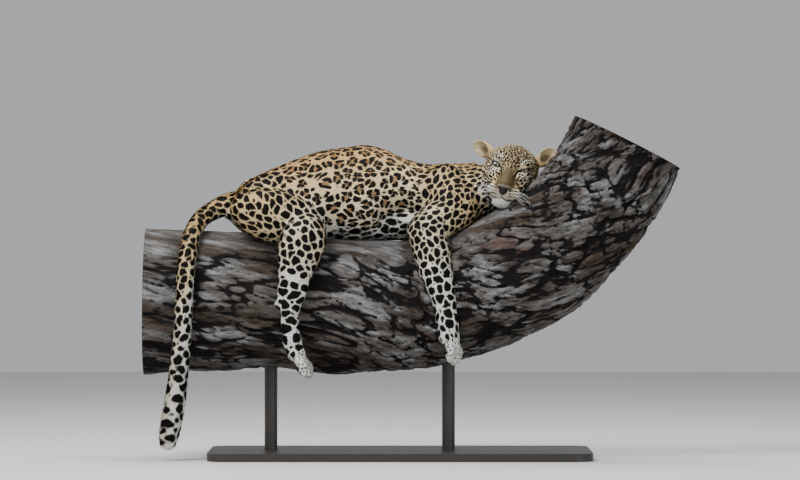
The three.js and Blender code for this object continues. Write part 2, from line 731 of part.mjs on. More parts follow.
// Legs: each length is kept between a cut across its upper joint and one across its lower.
const LEG_CUTS = {
  knee: (s, lag) => ({ at: [-300 + lag, s * 172, 652], facing: [-0.16, s * 0.22, -0.96] }),
  hock: (s, lag) => ({ at: [-348 + lag, s * 210, 478], facing: [0.12, 0, -0.99] }),
  ankle: (s, lag) => ({ at: [-322 + lag, s * 216, 342], facing: [0.45, 0, -0.89] }),
  elbow: (s, lag) => ({ at: [80 + lag, s * 168, 664], facing: [0.2, s * 0.2, -0.96] }),
  wrist: (s, lag) => ({ at: [149 + lag, s * 226, 398], facing: [0.15, 0, -0.99] }),
};
for (const [name, s] of SIDES) {
  const flank = { at: [0, s * 40, 0], facing: [0, s, 0] };
  const lowHigh = (x0, x1, z0, z1) => [[x0, s > 0 ? 10 : -320, z0], [x1, s > 0 ? 320 : -10, z1]];
  const lag = s > 0 ? LAG.hind : 0;
  const late = s > 0 ? LAG.fore : 0;
  const knee = LEG_CUTS.knee(s, lag);
  const hock = LEG_CUTS.hock(s, lag);
  const ankle = LEG_CUTS.ankle(s, lag);
  const elbow = LEG_CUTS.elbow(s, late);
  const wrist = LEG_CUTS.wrist(s, late);
  const thigh = fleshPiece(...lowHigh(-640, -180, 590, 930), STEP.trunk, [before(knee), past(flank)]);
  addNode(`thigh_${name}`, biggest(thigh.intersect(parting(HAUNCH, s, lag, 0))), look.coat);
  addFlesh(`shank_${name}`, ...lowHigh(-460, -180, 420, 720), STEP.lower, [past(knee), before(hock)]);
  addFlesh(`metatarsus_${name}`, ...lowHigh(-440, -240, 300, 520), STEP.cannon, [past(hock), before(ankle)]);
  addFlesh(`hind_paw_${name}`, ...lowHigh(-420, -180, 200, 400), STEP.paw, [past(ankle)]);
  const armCuts = [before(elbow), past(flank), before(CUTS.neck)];
  const arm = fleshPiece(...lowHigh(-110, 300, 600, 980), STEP.trunk, armCuts);
  addNode(`upper_arm_${name}`, biggest(arm.intersect(parting(SHOULDER, s, late, 0))), look.coat);
  addFlesh(`forearm_${name}`, ...lowHigh(-20, 240, 360, 720), STEP.lower, [past(elbow), before(wrist)]);
  addFlesh(`forepaw_${name}`, ...lowHigh(40, 260, 250, 450), STEP.paw, [past(wrist)]);
}

// The head: sockets, slits between the lids, nostrils, the line of the mouth, and room for ears and nose pad.
const inHead = (forms) => field(placed(forms, headSpot));
function boxAround(at, half) {
  return [at.map((v) => v - half), at.map((v) => v + half)];
}
function littleSolid(value, at, half, step) {
  return biggest(solid(surfaceOf(value, ...boxAround(headSpot.toPart(at), half), step)));
}
const padSolid = littleSolid(inHead(padForms), [0, 74, -70], 40, STEP.pad);
const padRoom = littleSolid(grownBy(inHead(padForms), ROOM), [0, 74, -70], 40, STEP.pad);
const nostrils = littleSolid(inHead(nostrilForms.slice(0, 2)), [-14, 78, -72], 20, STEP.nostril);
const nostrilsLeft = littleSolid(inHead(nostrilForms.slice(2)), [14, 78, -72], 20, STEP.nostril);

// How far forward the face lies at a place seen from in front.
const face = inHead([...skullForms, ...lidForms]);
function faceFront(x, z) {
  let y = 120;
  for (let i = 0; i < 60; i += 1) {
    const d = face(...headSpot.toPart([x, y, z]));
    if (d < 0.05) break;
    y -= d * 0.8;
  }
  return y;
}

function tubeAlong(points, radius, sides) {
  const line = new THREE.CatmullRomCurve3(points.map((p) => new THREE.Vector3(...p)));
  const rings = points.length * 2;
  const ringPoints = [];
  const frames = line.computeFrenetFrames(rings, false);
  for (let i = 0; i <= rings; i += 1) {
    const c = line.getPointAt(i / rings);
    for (let j = 0; j < sides; j += 1) {
      const a = (2 * Math.PI * j) / sides;
      const out = frames.normals[i].clone().multiplyScalar(Math.cos(a) * radius);
      ringPoints.push(out.addScaledVector(frames.binormals[i], Math.sin(a) * radius).add(c));
    }
  }
  return solid(closedTube(ringPoints, sides, rings));
}
const lipLine = [...MOUTH.slice(1).reverse().map(([x, z]) => [-x, z]), ...MOUTH];
const mouth = tubeAlong(
  lipLine.map(([x, z]) => headSpot.toPart([x, faceFront(x, z) - 0.6, z])),
  LIP_GROOVE,
  6,
);

// A ball or an egg in the head's axes, turned about the way the face looks.
function ball(at, radii, sides, turn = 0, grow = 0) {
  const g = new THREE.SphereGeometry(1, ...sides);
  g.scale(...radii.map((r) => r + grow));
  g.rotateY(radians(turn));
  const { right, forward, up } = headSpot;
  return solid(g.applyMatrix4(turnedTo(right, forward, up, headSpot.toPart(at))));
}
const eyes = SIDES.map(([side, s]) => {
  const [long, tall] = SLITS[side];
  const slitAt = add(EYE_AT(s), [s * -1, EYE_RADIUS, 0]);
  const radii = [EYE_RADIUS, EYE_RADIUS, EYE_RADIUS];
  const slit = ball(slitAt, [long, EYE_RADIUS, tall], SLIT_SIDES, s * SLIT_TURN);
  return {
    side,
    keep: ball(EYE_AT(s), radii, BALL_SIDES),
    room: ball(EYE_AT(s), radii, BALL_SIDES, 0, GAP).add(slit),
  };
});

const headRooms = [
  ...earSolids.map((e) => e.room),
  ...eyes.map((e) => e.room),
  padRoom,
  nostrils,
  nostrilsLeft,
  mouth,
];
const headCuts = [past(CUTS.throat), past(CUTS.neck)];
addFlesh("head", [150, -330, 720], [490, 60, 1010], STEP.head, headCuts, headRooms, FINE);
addNode("nose_pad", biggest(padSolid.subtract(nostrils).subtract(nostrilsLeft)), look.nose);
for (const e of earSolids) addNode(`ear_${e.side}`, biggest(e.keep.subtract(limbRoom)), look.ear);
for (const e of eyes) addNode(`eye_${e.side}`, e.keep, look.eye);

// The tail: rings along a smooth line, parted square to it.
function tailSolid(from, to, rings, rounded) {
  const start = TAIL.findIndex((t) => t[0] < CUTS.tailRoot.at[0]) - 1;
  const rows = TAIL.slice(start);
  const line = smoothLine(rows);
  const points = [];
  for (let i = 0; i <= rings; i += 1) {
    const t = mix(from, to, i / rings);
    const c = line.getPoint(t);
    const along = line.getTangent(t);
    const side = new THREE.Vector3().crossVectors(along, new THREE.Vector3(0.35, -0.94, 0)).normalize();
    const lift = new THREE.Vector3().crossVectors(along, side);
    const at = t * (rows.length - 1);
    const n = Math.min(Math.floor(at), rows.length - 2);
    const left = rounded ? Math.max(1 - i / rings, 0) * rings * 0.5 : 9;
    const round = left < 1 ? Math.sqrt(Math.max(1 - (1 - left) ** 2, 0.12)) : 1;
    const r = mix(rows[n][3], rows[n + 1][3], at - n) * round;
    for (let j = 0; j < TAIL_SIDES; j += 1) {
      const a = (2 * Math.PI * j) / TAIL_SIDES;
      points.push(c.clone().addScaledVector(side, Math.cos(a) * r).addScaledVector(lift, Math.sin(a) * r));
    }
  }
  return solid(closedTube(points, TAIL_SIDES, rings));
}
TAIL_PARTS.forEach((name, i) => {
  const share = GAP / 2 / TAIL_LONG;
  const count = TAIL_PARTS.length;
  const last = i === count - 1;
  const piece = tailSolid(i / count + share, (i + 1) / count - share, last ? 8 : 6, last);
  const kept = i === 0 ? piece.intersect(beyond(CUTS.tailRoot)) : piece;
  addNode(`tail_${name}`, biggest(kept.subtract(limbRoom)), look.coat);
});

// The stand: a rounded base plate and two rods up into sockets in the limb
function basePlate() {
  const { length, width, thick, round } = BASE;
  const shape = new THREE.Shape();
  const [x, y] = [length / 2, width / 2];
  shape.moveTo(-x + round, -y);
  shape.lineTo(x - round, -y);
  shape.absarc(x - round, -y + round, round, -Math.PI / 2, 0);
  shape.absarc(x - round, y - round, round, 0, Math.PI / 2);
  shape.absarc(-x + round, y - round, round, Math.PI / 2, Math.PI);
  shape.absarc(-x + round, -y + round, round, Math.PI, 1.5 * Math.PI);
  return solid(new THREE.ExtrudeGeometry(shape, { depth: thick, bevelEnabled: false, curveSegments: 8 }));
}
function post([x, y], radius, low, high) {
  const g = new THREE.CylinderGeometry(radius, radius, high - low, 24);
  return solid(g.rotateX(Math.PI / 2).translate(x, y, (low + high) / 2));
}
// How high the limb's underside is above a place on the base.
function limbUnderside([x, y]) {
  const core = post([x, y], ROD.radius, 0, 600).intersect(limb);
  return core.boundingBox().min[2];
}
let perch = limb;
ROD.places.forEach((spot, i) => {
  const top = limbUnderside(spot) + ROD.socket;
  const name = i === 0 ? "stand_rod_rear" : "stand_rod_front";
  addNode(name, post(spot, ROD.radius, BASE.thick + GAP, top), look.stand);
  perch = perch.subtract(post(spot, ROD.radius + GAP, 0, top + GAP));
});
addNode("perch_limb", biggest(perch), look.bark);
addNode("stand_base", basePlate(), look.stand);

export default group;
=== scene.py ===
"""A leopard draped along a cut length of limb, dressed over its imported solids.

The flesh is one smooth field of eggs and tapered rounds, the same as in the solids. One skin is drawn
over it, and the coat, the face, the feet, the bark and the stand are built on that. Sizes are in
millimetres until a mesh is made, and in metres from there on.
"""

import logging
from dataclasses import dataclass, field, fields, replace
from enum import Enum
from typing import Callable, ClassVar, Sequence, Union

import bpy
import numpy as np
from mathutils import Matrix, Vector


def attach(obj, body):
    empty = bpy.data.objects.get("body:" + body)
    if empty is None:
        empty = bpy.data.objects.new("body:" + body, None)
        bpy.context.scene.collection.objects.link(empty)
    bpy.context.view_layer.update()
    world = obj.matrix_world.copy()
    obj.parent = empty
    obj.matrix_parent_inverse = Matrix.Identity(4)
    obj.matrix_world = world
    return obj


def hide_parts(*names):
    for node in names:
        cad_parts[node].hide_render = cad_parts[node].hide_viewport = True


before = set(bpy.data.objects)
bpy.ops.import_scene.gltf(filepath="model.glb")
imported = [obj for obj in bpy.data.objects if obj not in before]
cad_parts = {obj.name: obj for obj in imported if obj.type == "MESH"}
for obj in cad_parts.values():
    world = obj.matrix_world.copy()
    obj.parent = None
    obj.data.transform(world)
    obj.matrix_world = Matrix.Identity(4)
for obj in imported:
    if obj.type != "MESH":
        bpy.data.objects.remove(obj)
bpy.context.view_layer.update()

Array = np.ndarray
Triple = tuple[float, float, float]
Tint = tuple[int, int, int]
METRES = 0.001
SEED = 20
LOT = 40000
LOG = logging.getLogger("leopard")


# ---- Small helpers on whole arrays


def unit(v: Array) -> Array:
    """Vectors brought to a length of one, along the last axis."""
    v = np.asarray(v, float)
    return v / np.maximum(np.linalg.norm(v, axis=-1, keepdims=True), 1e-12)


def dot(a: Array, b: Array) -> Array:
    """The dot products of two rows of vectors."""
    return np.einsum("...i,...i->...", a, b)


def smooth(low: float, high: float, v: Array) -> Array:
    """Nought before low and one past high, along the curve 3t^2 - 2t^3 between them."""
    t = np.clip((np.asarray(v, float) - low) / (high - low), 0, 1)
    return t * t * (3 - 2 * t)


def bell(away: Array, spread: float) -> Array:
    """One at nought, fading as exp(-away^2 / 2 spread^2)."""
    return np.exp(-(away**2) / (2 * spread**2))


def hashed(cells: Array, seed: int) -> Array:
    """A number from 0 to 1 for each row of whole numbers, from the fractional part of a large sine."""
    weights = np.array([127.1, 311.7, 74.7])[: cells.shape[-1]]
    v = np.sin(cells @ weights + seed * 17.13) * 43758.5453
    return v - np.floor(v)


def noise(p: Array, size: float, seed: int) -> Array:
    """Smooth noise from -1 to 1 whose lumps are about size across.

    Args:
        p: Points, of two or three numbers each.
        size: How wide a lump is.
        seed: Which of many such fields.

    Returns:
        At each point, the hashed numbers of the corners of its cell, weighted by 3t^2 - 2t^3 each way.
        The cells are turned by an angle of their own, so that no two fields line up.
    """
    turn = turned((37.0 + 53 * seed, 61.0 + 29 * seed, 17.0 * seed))[: p.shape[1], : p.shape[1]]
    q = np.asarray(p, float) @ turn / size
    base = np.floor(q)
    t = q - base
    t = t * t * (3 - 2 * t)
    total = np.zeros(len(q))
    for corner in np.ndindex(*(2,) * q.shape[1]):
        share = np.prod(np.where(np.array(corner) == 1, t, 1 - t), axis=1)
        total += share * hashed(base + corner, seed)
    return total * 2 - 1


def turned(degrees: Triple) -> Array:
    """The matrix of a turn about X, then Y, then Z of the turned axes, in degrees."""
    (cx, cy, cz), (sx, sy, sz) = np.cos(np.radians(degrees)), np.sin(np.radians(degrees))
    about_x = np.array([[1, 0, 0], [0, cx, -sx], [0, sx, cx]])
    about_y = np.array([[cy, 0, sy], [0, 1, 0], [-sy, 0, cy]])
    about_z = np.array([[cz, -sz, 0], [sz, cz, 0], [0, 0, 1]])
    return about_x @ about_y @ about_z


def smooth_line(stations: Array, t: Array) -> Array:
    """Points of a centripetal Catmull-Rom line through the stations.

    Args:
        stations: The points it passes through, one to a row.
        t: Places from 0 to 1, with the stations evenly spaced in it.

    Returns:
        One point to each place, from the cubic of its stretch, whose slopes come from the square
        roots of the distances between stations.
    """
    p = np.asarray(stations, float)
    p = np.vstack([2 * p[0] - p[1], p, 2 * p[-1] - p[-2]])
    at = np.clip(np.asarray(t, float), 0, 1) * (len(stations) - 1)
    i = np.minimum(at.astype(int), len(stations) - 2)
    f = (at - i)[:, None]
    p0, p1, p2, p3 = p[i], p[i + 1], p[i + 2], p[i + 3]
    steps = ((p0, p1), (p1, p2), (p2, p3))
    d0, d1, d2 = (np.sqrt(np.linalg.norm(b - a, axis=1))[:, None] for a, b in steps)
    slope1 = d1 * ((p1 - p0) / d0 - (p2 - p0) / (d0 + d1) + (p2 - p1) / d1)
    slope2 = d1 * ((p2 - p1) / d1 - (p3 - p1) / (d1 + d2) + (p3 - p2) / d2)
    c2 = 3 * (p2 - p1) - 2 * slope1 - slope2
    c3 = 2 * (p1 - p2) + slope1 + slope2
    return p1 + slope1 * f + c2 * f**2 + c3 * f**3


def finer(stations: Sequence[Sequence[float]], count: int) -> list[list[float]]:
    """Stations of x, y, z and radius along the smooth line through a few of them."""
    rows = np.array(stations, float)
    t = np.linspace(0, 1, count)
    radii = np.interp(t * (len(rows) - 1), np.arange(len(rows)), rows[:, 3])
    return np.column_stack([smooth_line(rows[:, :3], t), radii]).tolist()


def lots(count: int) -> list[Array]:
    """The whole numbers below count, in runs short enough to be worked on at once."""
    return np.array_split(np.arange(count), count // LOT + 1)


def cell_keys(cells: Array) -> Array:
    """One whole number to each cell, given as rows of three."""
    return ((cells[:, 0] + 512) * 2048 + cells[:, 1] + 512) * 2048 + cells[:, 2] + 512


@dataclass(frozen=True)
class Place:
    """A turned place. Its axes are rows: to its right, forward and up."""

    at: Array
    axes: Array

    @classmethod
    def facing(cls, at: Sequence[float], forward: Sequence[float], up: Sequence[float]) -> "Place":
        """A place whose forward is exact and whose up leans as near as it can to the one given."""
        f = unit(np.array(forward, float))
        r = unit(np.cross(f, up))
        return cls(np.array(at, float), np.array([r, f, np.cross(r, f)]))

    def to_part(self, p: Array) -> Array:
        """Points of this place in the part's frame."""
        return self.at + np.asarray(p, float) @ self.axes

    def from_part(self, p: Array) -> Array:
        """Points of the part's frame in this place."""
        return (p - self.at) @ self.axes.T

    def within(self, outer: "Place") -> "Place":
        """This place, when it is written in the axes of another."""
        return Place(outer.to_part(self.at), self.axes @ outer.axes)


# ---- Forms of the flesh


@dataclass(frozen=True)
class Egg:
    """An ellipsoid of three radii. Its turning takes directions of the part to its own axes."""

    at: Array
    radii: Array
    blend: float
    turning: Array
    cuts: bool = False

    @property
    def reach(self) -> float:
        """How far it goes from its middle."""
        return float(self.radii.max())

    def settled(self, place: Place) -> "Egg":
        """The same egg, moved from the axes of a place to the part's."""
        return replace(self, at=place.to_part(self.at), turning=place.axes.T @ self.turning)


def egg(
    at: Sequence[float], radii: Sequence[float], blend: float, turn: Triple = (0, 0, 0), cuts: bool = False
) -> Egg:
    """An egg turned by three angles in degrees."""
    return Egg(np.array(at, float), np.array(radii, float), blend, turned(turn), cuts)


@dataclass(frozen=True)
class Taper:
    """A round from start to end whose radius changes evenly, squeezed by flat along across."""

    start: Array
    end: Array
    first: float
    last: float
    blend: float
    flat: float
    across: Array
    cuts: bool = False

    @property
    def at(self) -> Array:
        """Halfway along it."""
        return (self.start + self.end) / 2

    @property
    def reach(self) -> float:
        """How far it goes from its middle."""
        return float(np.linalg.norm(self.end - self.start)) / 2 + max(self.first, self.last)

    def settled(self, place: Place) -> "Taper":
        """The same taper, moved from the axes of a place to the part's."""
        start, end = place.to_part(self.start), place.to_part(self.end)
        return replace(self, start=start, end=end, across=self.across @ place.axes)


def taper(
    start: Sequence[float],
    end: Sequence[float],
    first: float,
    last: float,
    blend: float,
    flat: float = 1.0,
    across: Triple = (0, 1, 0),
    cuts: bool = False,
) -> Taper:
    """A tapered round from plain numbers."""
    a, b = np.array(start, float), np.array(end, float)
    return Taper(a, b, first, last, blend, flat, unit(np.array(across, float)), cuts)


@dataclass(frozen=True)
class Trunk:
    """A length along X with an elliptical section.

    Its rows are x, its middle's y and z, half its height and half its width.
    """

    ABOUT: ClassVar[float] = 800
    GIRTH: ClassVar[float] = 160
    rows: Array
    blend: float
    cuts: bool = False

    @property
    def at(self) -> Array:
        """The middle of its length."""
        return np.array([(self.rows[0, 0] + self.rows[-1, 0]) / 2, 0, self.ABOUT])

    @property
    def reach(self) -> float:
        """How far it goes from its middle."""
        return float(self.rows[-1, 0] - self.rows[0, 0]) / 2 + self.GIRTH

    def sections(self, x: Array) -> Array:
        """Middle y and z, half height and half width at each x, from a cubic through the rows whose
        slopes are those between the rows on either side."""
        rows = self.rows
        last = len(rows) - 1
        t = np.clip(x, rows[0, 0], rows[last, 0])
        i = np.clip(np.searchsorted(rows[:, 0], t, side="left") - 1, 0, last - 1)
        span = (rows[i + 1, 0] - rows[i, 0])[:, None]
        f = (t - rows[i, 0])[:, None] / span
        low, high = np.maximum(np.arange(last + 1) - 1, 0), np.minimum(np.arange(last + 1) + 1, last)
        slope = (rows[high, 1:] - rows[low, 1:]) / (rows[high, 0] - rows[low, 0])[:, None]
        ends = (1 + 2 * f) * (1 - f) ** 2 * rows[i, 1:] + f * f * (3 - 2 * f) * rows[i + 1, 1:]
        return ends + span * (f * (1 - f) ** 2 * slope[i] + f * f * (f - 1) * slope[i + 1])

    def distance(self, p: Array) -> Array:
        """About the distance to its side, or to a flat end where the point is past it."""
        cy, cz, high, wide = self.sections(p[:, 0]).T
        v, w = (p[:, 1] - cy) / wide, (p[:, 2] - cz) / high
        k0, k1 = np.hypot(v, w), np.maximum(np.hypot(v / wide, w / high), 1e-9)
        side = k0 * (k0 - 1) / k1
        past = np.maximum(self.rows[0, 0] - p[:, 0], p[:, 0] - self.rows[-1, 0])
        return np.where(past > 0, np.hypot(np.maximum(side, 0), past), np.maximum(side, past))


Form = Union[Egg, Taper, Trunk]


def chain(stations: Sequence[Sequence[float]], blend: float, flat: float = 1.0) -> list[Form]:
    """Tapered rounds through stations of x, y, z and radius."""
    return [taper(a[:3], b[:3], a[3], b[3], blend, flat) for a, b in zip(stations[:-1], stations[1:])]


class Flesh:
    """Forms joined, or cut away, one after another with smooth blends.

    BUNCH is the side of the cells that points are taken in, FAR the field where no form is near, and
    CUT_REACH how near a cut has to be to count.
    """

    BUNCH = 46.0
    FAR = 400.0
    CUT_REACH = 60.0

    def __init__(self, forms: Sequence[Form]) -> None:
        """Keeps the forms in order, with the sizes of each kind side by side as arrays."""
        self.forms = list(forms)
        self.middles = np.array([f.at for f in forms])
        self.reaches = np.array([f.reach for f in forms])
        self.blends = np.array([f.blend for f in forms])
        self.cutting = np.array([f.cuts for f in forms])
        self.kinds = np.array([(Egg, Taper, Trunk).index(type(f)) for f in forms])
        self.rows = np.array([np.sum(self.kinds[:n] == k) for n, k in enumerate(self.kinds)])
        eggs = [f for f in forms if isinstance(f, Egg)]
        self.eggs = [np.array([getattr(f, n) for f in eggs]) for n in ("at", "turning", "radii")]
        tapers = [f for f in forms if isinstance(f, Taper)]
        names = ("start", "end", "across", "flat", "first", "last")
        self.tapers = [np.array([getattr(f, n) for f in tapers]) for n in names]

    def values(self, p: Array) -> Array:
        """The field at any points, below nought inside the flesh.

        Args:
            p: Points in millimetres, one to a row.

        Returns:
            One value to each point. The points are taken bunch by bunch, so that far forms are left out.
        """
        key = cell_keys(np.floor(p / self.BUNCH).astype(np.int64))
        order = np.argsort(key, kind="stable")
        out = np.empty(len(p))
        for bunch in np.split(order, np.flatnonzero(np.diff(key[order])) + 1):
            out[bunch] = self._bunch(p[bunch])
        return out

    def values_and_slopes(self, p: Array, step: float = 0.5) -> tuple[Array, Array]:
        """The field at each point, and its rise along each axis from a second point a step away."""
        stack = np.concatenate([p] + [p + e for e in np.eye(3) * step])
        v = self.values(stack).reshape(4, len(p))
        return v[0], ((v[1:] - v[0]) / step).T

    def _bunch(self, p: Array) -> Array:
        """The field at points close together.

        A form d joins the value v by min(v, d) - h^2 k / 4 with h = max(k - |v - d|, 0) / k, and a
        cut takes max(v, -d) + h^2 k / 4 with h = max(k - |v + d|, 0) / k, where k is its blend.
        """
        low, high = p.min(axis=0), p.max(axis=0)
        middle, radius = (low + high) / 2, float(np.linalg.norm(high - low)) / 2
        away = np.linalg.norm(self.middles - middle, axis=1)
        bound = away[~self.cutting].min() + radius
        near = away - self.reaches - radius <= np.where(self.cutting, self.CUT_REACH, bound + self.blends)
        chosen = np.flatnonzero(near)
        v = np.full(len(p), self.FAR)
        for n, d in zip(chosen, self._distances(chosen, p)):
            k = self.blends[n]
            if self.cutting[n]:
                v = np.maximum(v, -d) + np.maximum(k - np.abs(v + d), 0) ** 2 / (4 * k)
            else:
                v = np.minimum(v, d) - np.maximum(k - np.abs(v - d), 0) ** 2 / (4 * k)
        return v

    def _distances(self, chosen: Array, p: Array) -> Array:
        """The distance of every point to each of the chosen forms, one form to a row."""
        out = np.empty((len(chosen), len(p)))
        kinds, rows = self.kinds[chosen], self.rows[chosen]
        if (kinds == 0).any():
            out[kinds == 0] = self._to_eggs(rows[kinds == 0], p)
        if (kinds == 1).any():
            out[kinds == 1] = self._to_tapers(rows[kinds == 1], p)
        for n in np.flatnonzero(kinds == 2):
            out[n] = self.forms[chosen[n]].distance(p)
        return out

    def _to_eggs(self, rows: Array, p: Array) -> Array:
        """About the distance to each egg: k0 (k0 - 1) / k1, with k0 the length of the point over the
        radii and k1 that of the point over their squares."""
        at, turning, radii = (v[rows] for v in self.eggs)
        q = np.matmul(p[None] - at[:, None], turning) / radii[:, None]
        k0 = np.sqrt(dot(q, q))
        q = q / radii[:, None]
        return k0 * (k0 - 1) / np.maximum(np.sqrt(dot(q, q)), 1e-9)

    def _to_tapers(self, rows: Array, p: Array) -> Array:
        """The distance to each cone with round ends, after its squeeze is undone along across."""
        start, end, across, flat, first, last = (v[rows] for v in self.tapers)
        stretch = (1 / flat - 1)[:, None]
        ba = end - start
        ba = ba + across * dot(ba, across)[:, None] * stretch
        q = p[None] - start[:, None]
        q = q + across[:, None] * (dot(q, across[:, None]) * stretch)[..., None]
        l2, rr = dot(ba, ba)[:, None], (first - last)[:, None]
        a2 = l2 - rr * rr
        along = dot(q, ba[:, None])
        past = along - l2
        off = q * l2[..., None] - ba[:, None] * along[..., None]
        x2 = dot(off, off)
        y2, z2, k = along**2 * l2, past**2 * l2, np.sign(rr) * rr * rr * x2
        side = (np.sqrt(x2 * a2 / l2) + along * rr) / l2 - first[:, None]
        at_start = np.sqrt(x2 + y2) / l2 - first[:, None]
        at_end = np.sqrt(x2 + z2) / l2 - last[:, None]
        near_start = np.where(np.sign(along) * a2 * y2 < k, at_start, side)
        return np.where(np.sign(past) * a2 * z2 > k, at_end, near_start)


# ---- A skin over a field


@dataclass(frozen=True)
class Pull:
    """A place that draws the lattice in: by a share of the way, fading as a bell of this spread."""

    at: Triple
    share: float
    spread: float


@dataclass(frozen=True)
class Lattice:
    """A box of evenly spaced points, drawn in where finer detail is needed."""

    low: Triple
    high: Triple
    step: float
    pulls: tuple[Pull, ...] = ()
    BLOCK = 4

    @classmethod
    def around(cls, middle: Array, half: float, step: float) -> "Lattice":
        """A cube of lattice points about a place."""
        return cls(tuple(middle - half), tuple(middle + half), step)

    def points(self, index: Array) -> Array:
        """Where lattice points are: q - sum of (q - c) share exp(-|q - c|^2 / 2 spread^2) over the pulls."""
        q = np.array(self.low) + np.asarray(index, float) * self.step
        p = q.copy()
        for pull in self.pulls:
            r = q - np.array(pull.at)
            p -= r * (pull.share * np.exp(-dot(r, r) / (2 * pull.spread**2)))[..., None]
        return p

    def sampled(self, value: Callable[[Array], Array]) -> Array:
        """The field at all lattice points. Only blocks near the surface are worked out in full."""
        count = np.ceil(np.subtract(self.high, self.low) / self.step) + 1
        blocks = np.ceil(count / self.BLOCK).astype(int)
        starts = np.argwhere(np.ones(blocks, bool)) * self.BLOCK
        middles = self.points(starts + (self.BLOCK - 1) / 2)
        corners = (self.points(starts + np.array(c) * (self.BLOCK - 1)) for c in np.ndindex(2, 2, 2))
        radius = np.max([np.linalg.norm(c - middles, axis=1) for c in corners], axis=0)
        v = value(middles)
        live = np.abs(v) < 1.7 * radius + 8
        inner = np.argwhere(np.ones((self.BLOCK,) * 3, bool))
        grid = np.repeat(v[:, None], self.BLOCK**3, axis=1)
        spots = (starts[live][:, None, :] + inner[None]).reshape(-1, 3)
        grid[live] = value(self.points(spots)).reshape(-1, self.BLOCK**3)
        grid = grid.reshape(*blocks, *(self.BLOCK,) * 3)
        grid = grid.transpose(0, 3, 1, 4, 2, 5).reshape(blocks * self.BLOCK)
        for axis in range(3):
            rim = np.moveaxis(grid, axis, 0)
            rim[[0, -1]] = np.maximum(rim[[0, -1]], self.step / 4)
        return grid

    def skin(self, value: Callable[[Array], Array]) -> tuple[Array, Array]:
        """A closed surface where the field is nought.

        Args:
            value: The field.

        Returns:
            Points, one to each lattice cell that the surface crosses, at the mean of the places
            where the cell's edges cross it, and four-sided faces, one to each crossed edge.
        """
        grid = self.sampled(value)
        inside = grid < 0
        n = np.array(grid.shape)
        corners = np.array(list(np.ndindex(2, 2, 2)))
        windows = [tuple(slice(c, c + m - 1) for c, m in zip(corner, n)) for corner in corners]
        count = sum(inside[w].astype(int) for w in windows)
        cells = np.argwhere((count > 0) & (count < 8))
        label = np.full(n - 1, -1)
        label[tuple(cells.T)] = np.arange(len(cells))
        at = [self.points(cells + c) for c in corners]
        v = [grid[tuple((cells + c).T)] for c in corners]
        total, crossed = np.zeros((len(cells), 3)), np.zeros(len(cells))
        pairs = ((a, b) for a in range(8) for b in range(a + 1, 8))
        for a, b in (pair for pair in pairs if np.abs(corners[pair[0]] - corners[pair[1]]).sum() == 1):
            hit = (v[a] < 0) != (v[b] < 0)
            t = np.where(hit, v[a] / np.where(hit, v[a] - v[b], 1), 0)[:, None]
            total += np.where(hit[:, None], at[a] + (at[b] - at[a]) * t, 0)
            crossed += hit
        return total / crossed[:, None], self._faces(inside, label)

    @staticmethod
    def _faces(inside: Array, label: Array) -> Array:
        """One face to each lattice edge with one end inside, through the four cells around it."""
        faces = []
        for axis in range(3):
            u, w = np.eye(3, dtype=int)[(axis + 1) % 3], np.eye(3, dtype=int)[(axis + 2) % 3]
            lined = np.moveaxis(inside, axis, 0)
            edges = np.argwhere(np.moveaxis(lined[:-1] != lined[1:], 0, axis))
            edges = edges[(edges[:, (axis + 1) % 3] > 0) & (edges[:, (axis + 2) % 3] > 0)]
            edges = edges[(edges < np.array(label.shape)).all(axis=1)]
            around = ((1, 1), (0, 1), (0, 0), (1, 0))
            quad = np.stack([label[tuple((edges - a * u - b * w).T)] for a, b in around], 1)
            faces.append(np.where(inside[tuple(edges.T)][:, None], quad, quad[:, ::-1]))
        return np.concatenate(faces)


# ---- Meshes


def mesh_piece(
    name: str, points: Array, faces: Sequence[Array], replaced: Sequence[str] = ()
) -> bpy.types.Object:
    """A piece of the object, riding on its one body.

    Args:
        name: The piece's name.
        points: Its points in millimetres.
        faces: One or more arrays of faces, each with its own number of corners.
        replaced: The solids that it stands for.

    Returns:
        The object, smooth shaded, with its place in its mesh.
    """
    mesh = bpy.data.meshes.new(name)
    faces = [np.asarray(f, int) for f in faces if len(f)]
    sizes = np.concatenate([np.full(len(f), f.shape[1]) for f in faces])
    corners = np.concatenate([f.ravel() for f in faces])
    mesh.vertices.add(len(points))
    mesh.vertices.foreach_set("co", (np.asarray(points) * METRES).astype(np.float32).ravel())
    mesh.loops.add(len(corners))
    mesh.loops.foreach_set("vertex_index", corners.astype(np.int32))
    mesh.polygons.add(len(sizes))
    mesh.polygons.foreach_set("loop_start", (np.cumsum(sizes) - sizes).astype(np.int32))
    mesh.polygons.foreach_set("use_smooth", np.ones(len(sizes), bool))
    mesh.update(calc_edges=True)
    piece = bpy.data.objects.new(name, mesh)
    bpy.context.scene.collection.objects.link(piece)
    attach(piece, "root")
    if replaced:
        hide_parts(*replaced)
    LOG.info("%s: %d points, %d faces", name, len(points), len(sizes))
    return piece


def give_numbers(piece: bpy.types.Object, **values: Array) -> None:
    """Writes named numbers to the piece's points, for its material to read."""
    for name, numbers in values.items():
        layer = piece.data.attributes.new(name, "FLOAT", "POINT")
        layer.data.foreach_set("value", np.asarray(numbers, np.float32))


def give_map(piece: bpy.types.Object, uv: Array) -> None:
    """Writes the piece's map of its surface, one row to each corner of each face."""
    layer = piece.data.uv_layers.new(name="OFBake")
    layer.data.foreach_set("uv", np.asarray(uv, np.float32).ravel())


def dress(piece: bpy.types.Object, *materials: bpy.types.Material) -> bpy.types.Object:
    """Puts materials on a piece and gives it back."""
    for material in materials:
        piece.data.materials.append(material)
    return piece


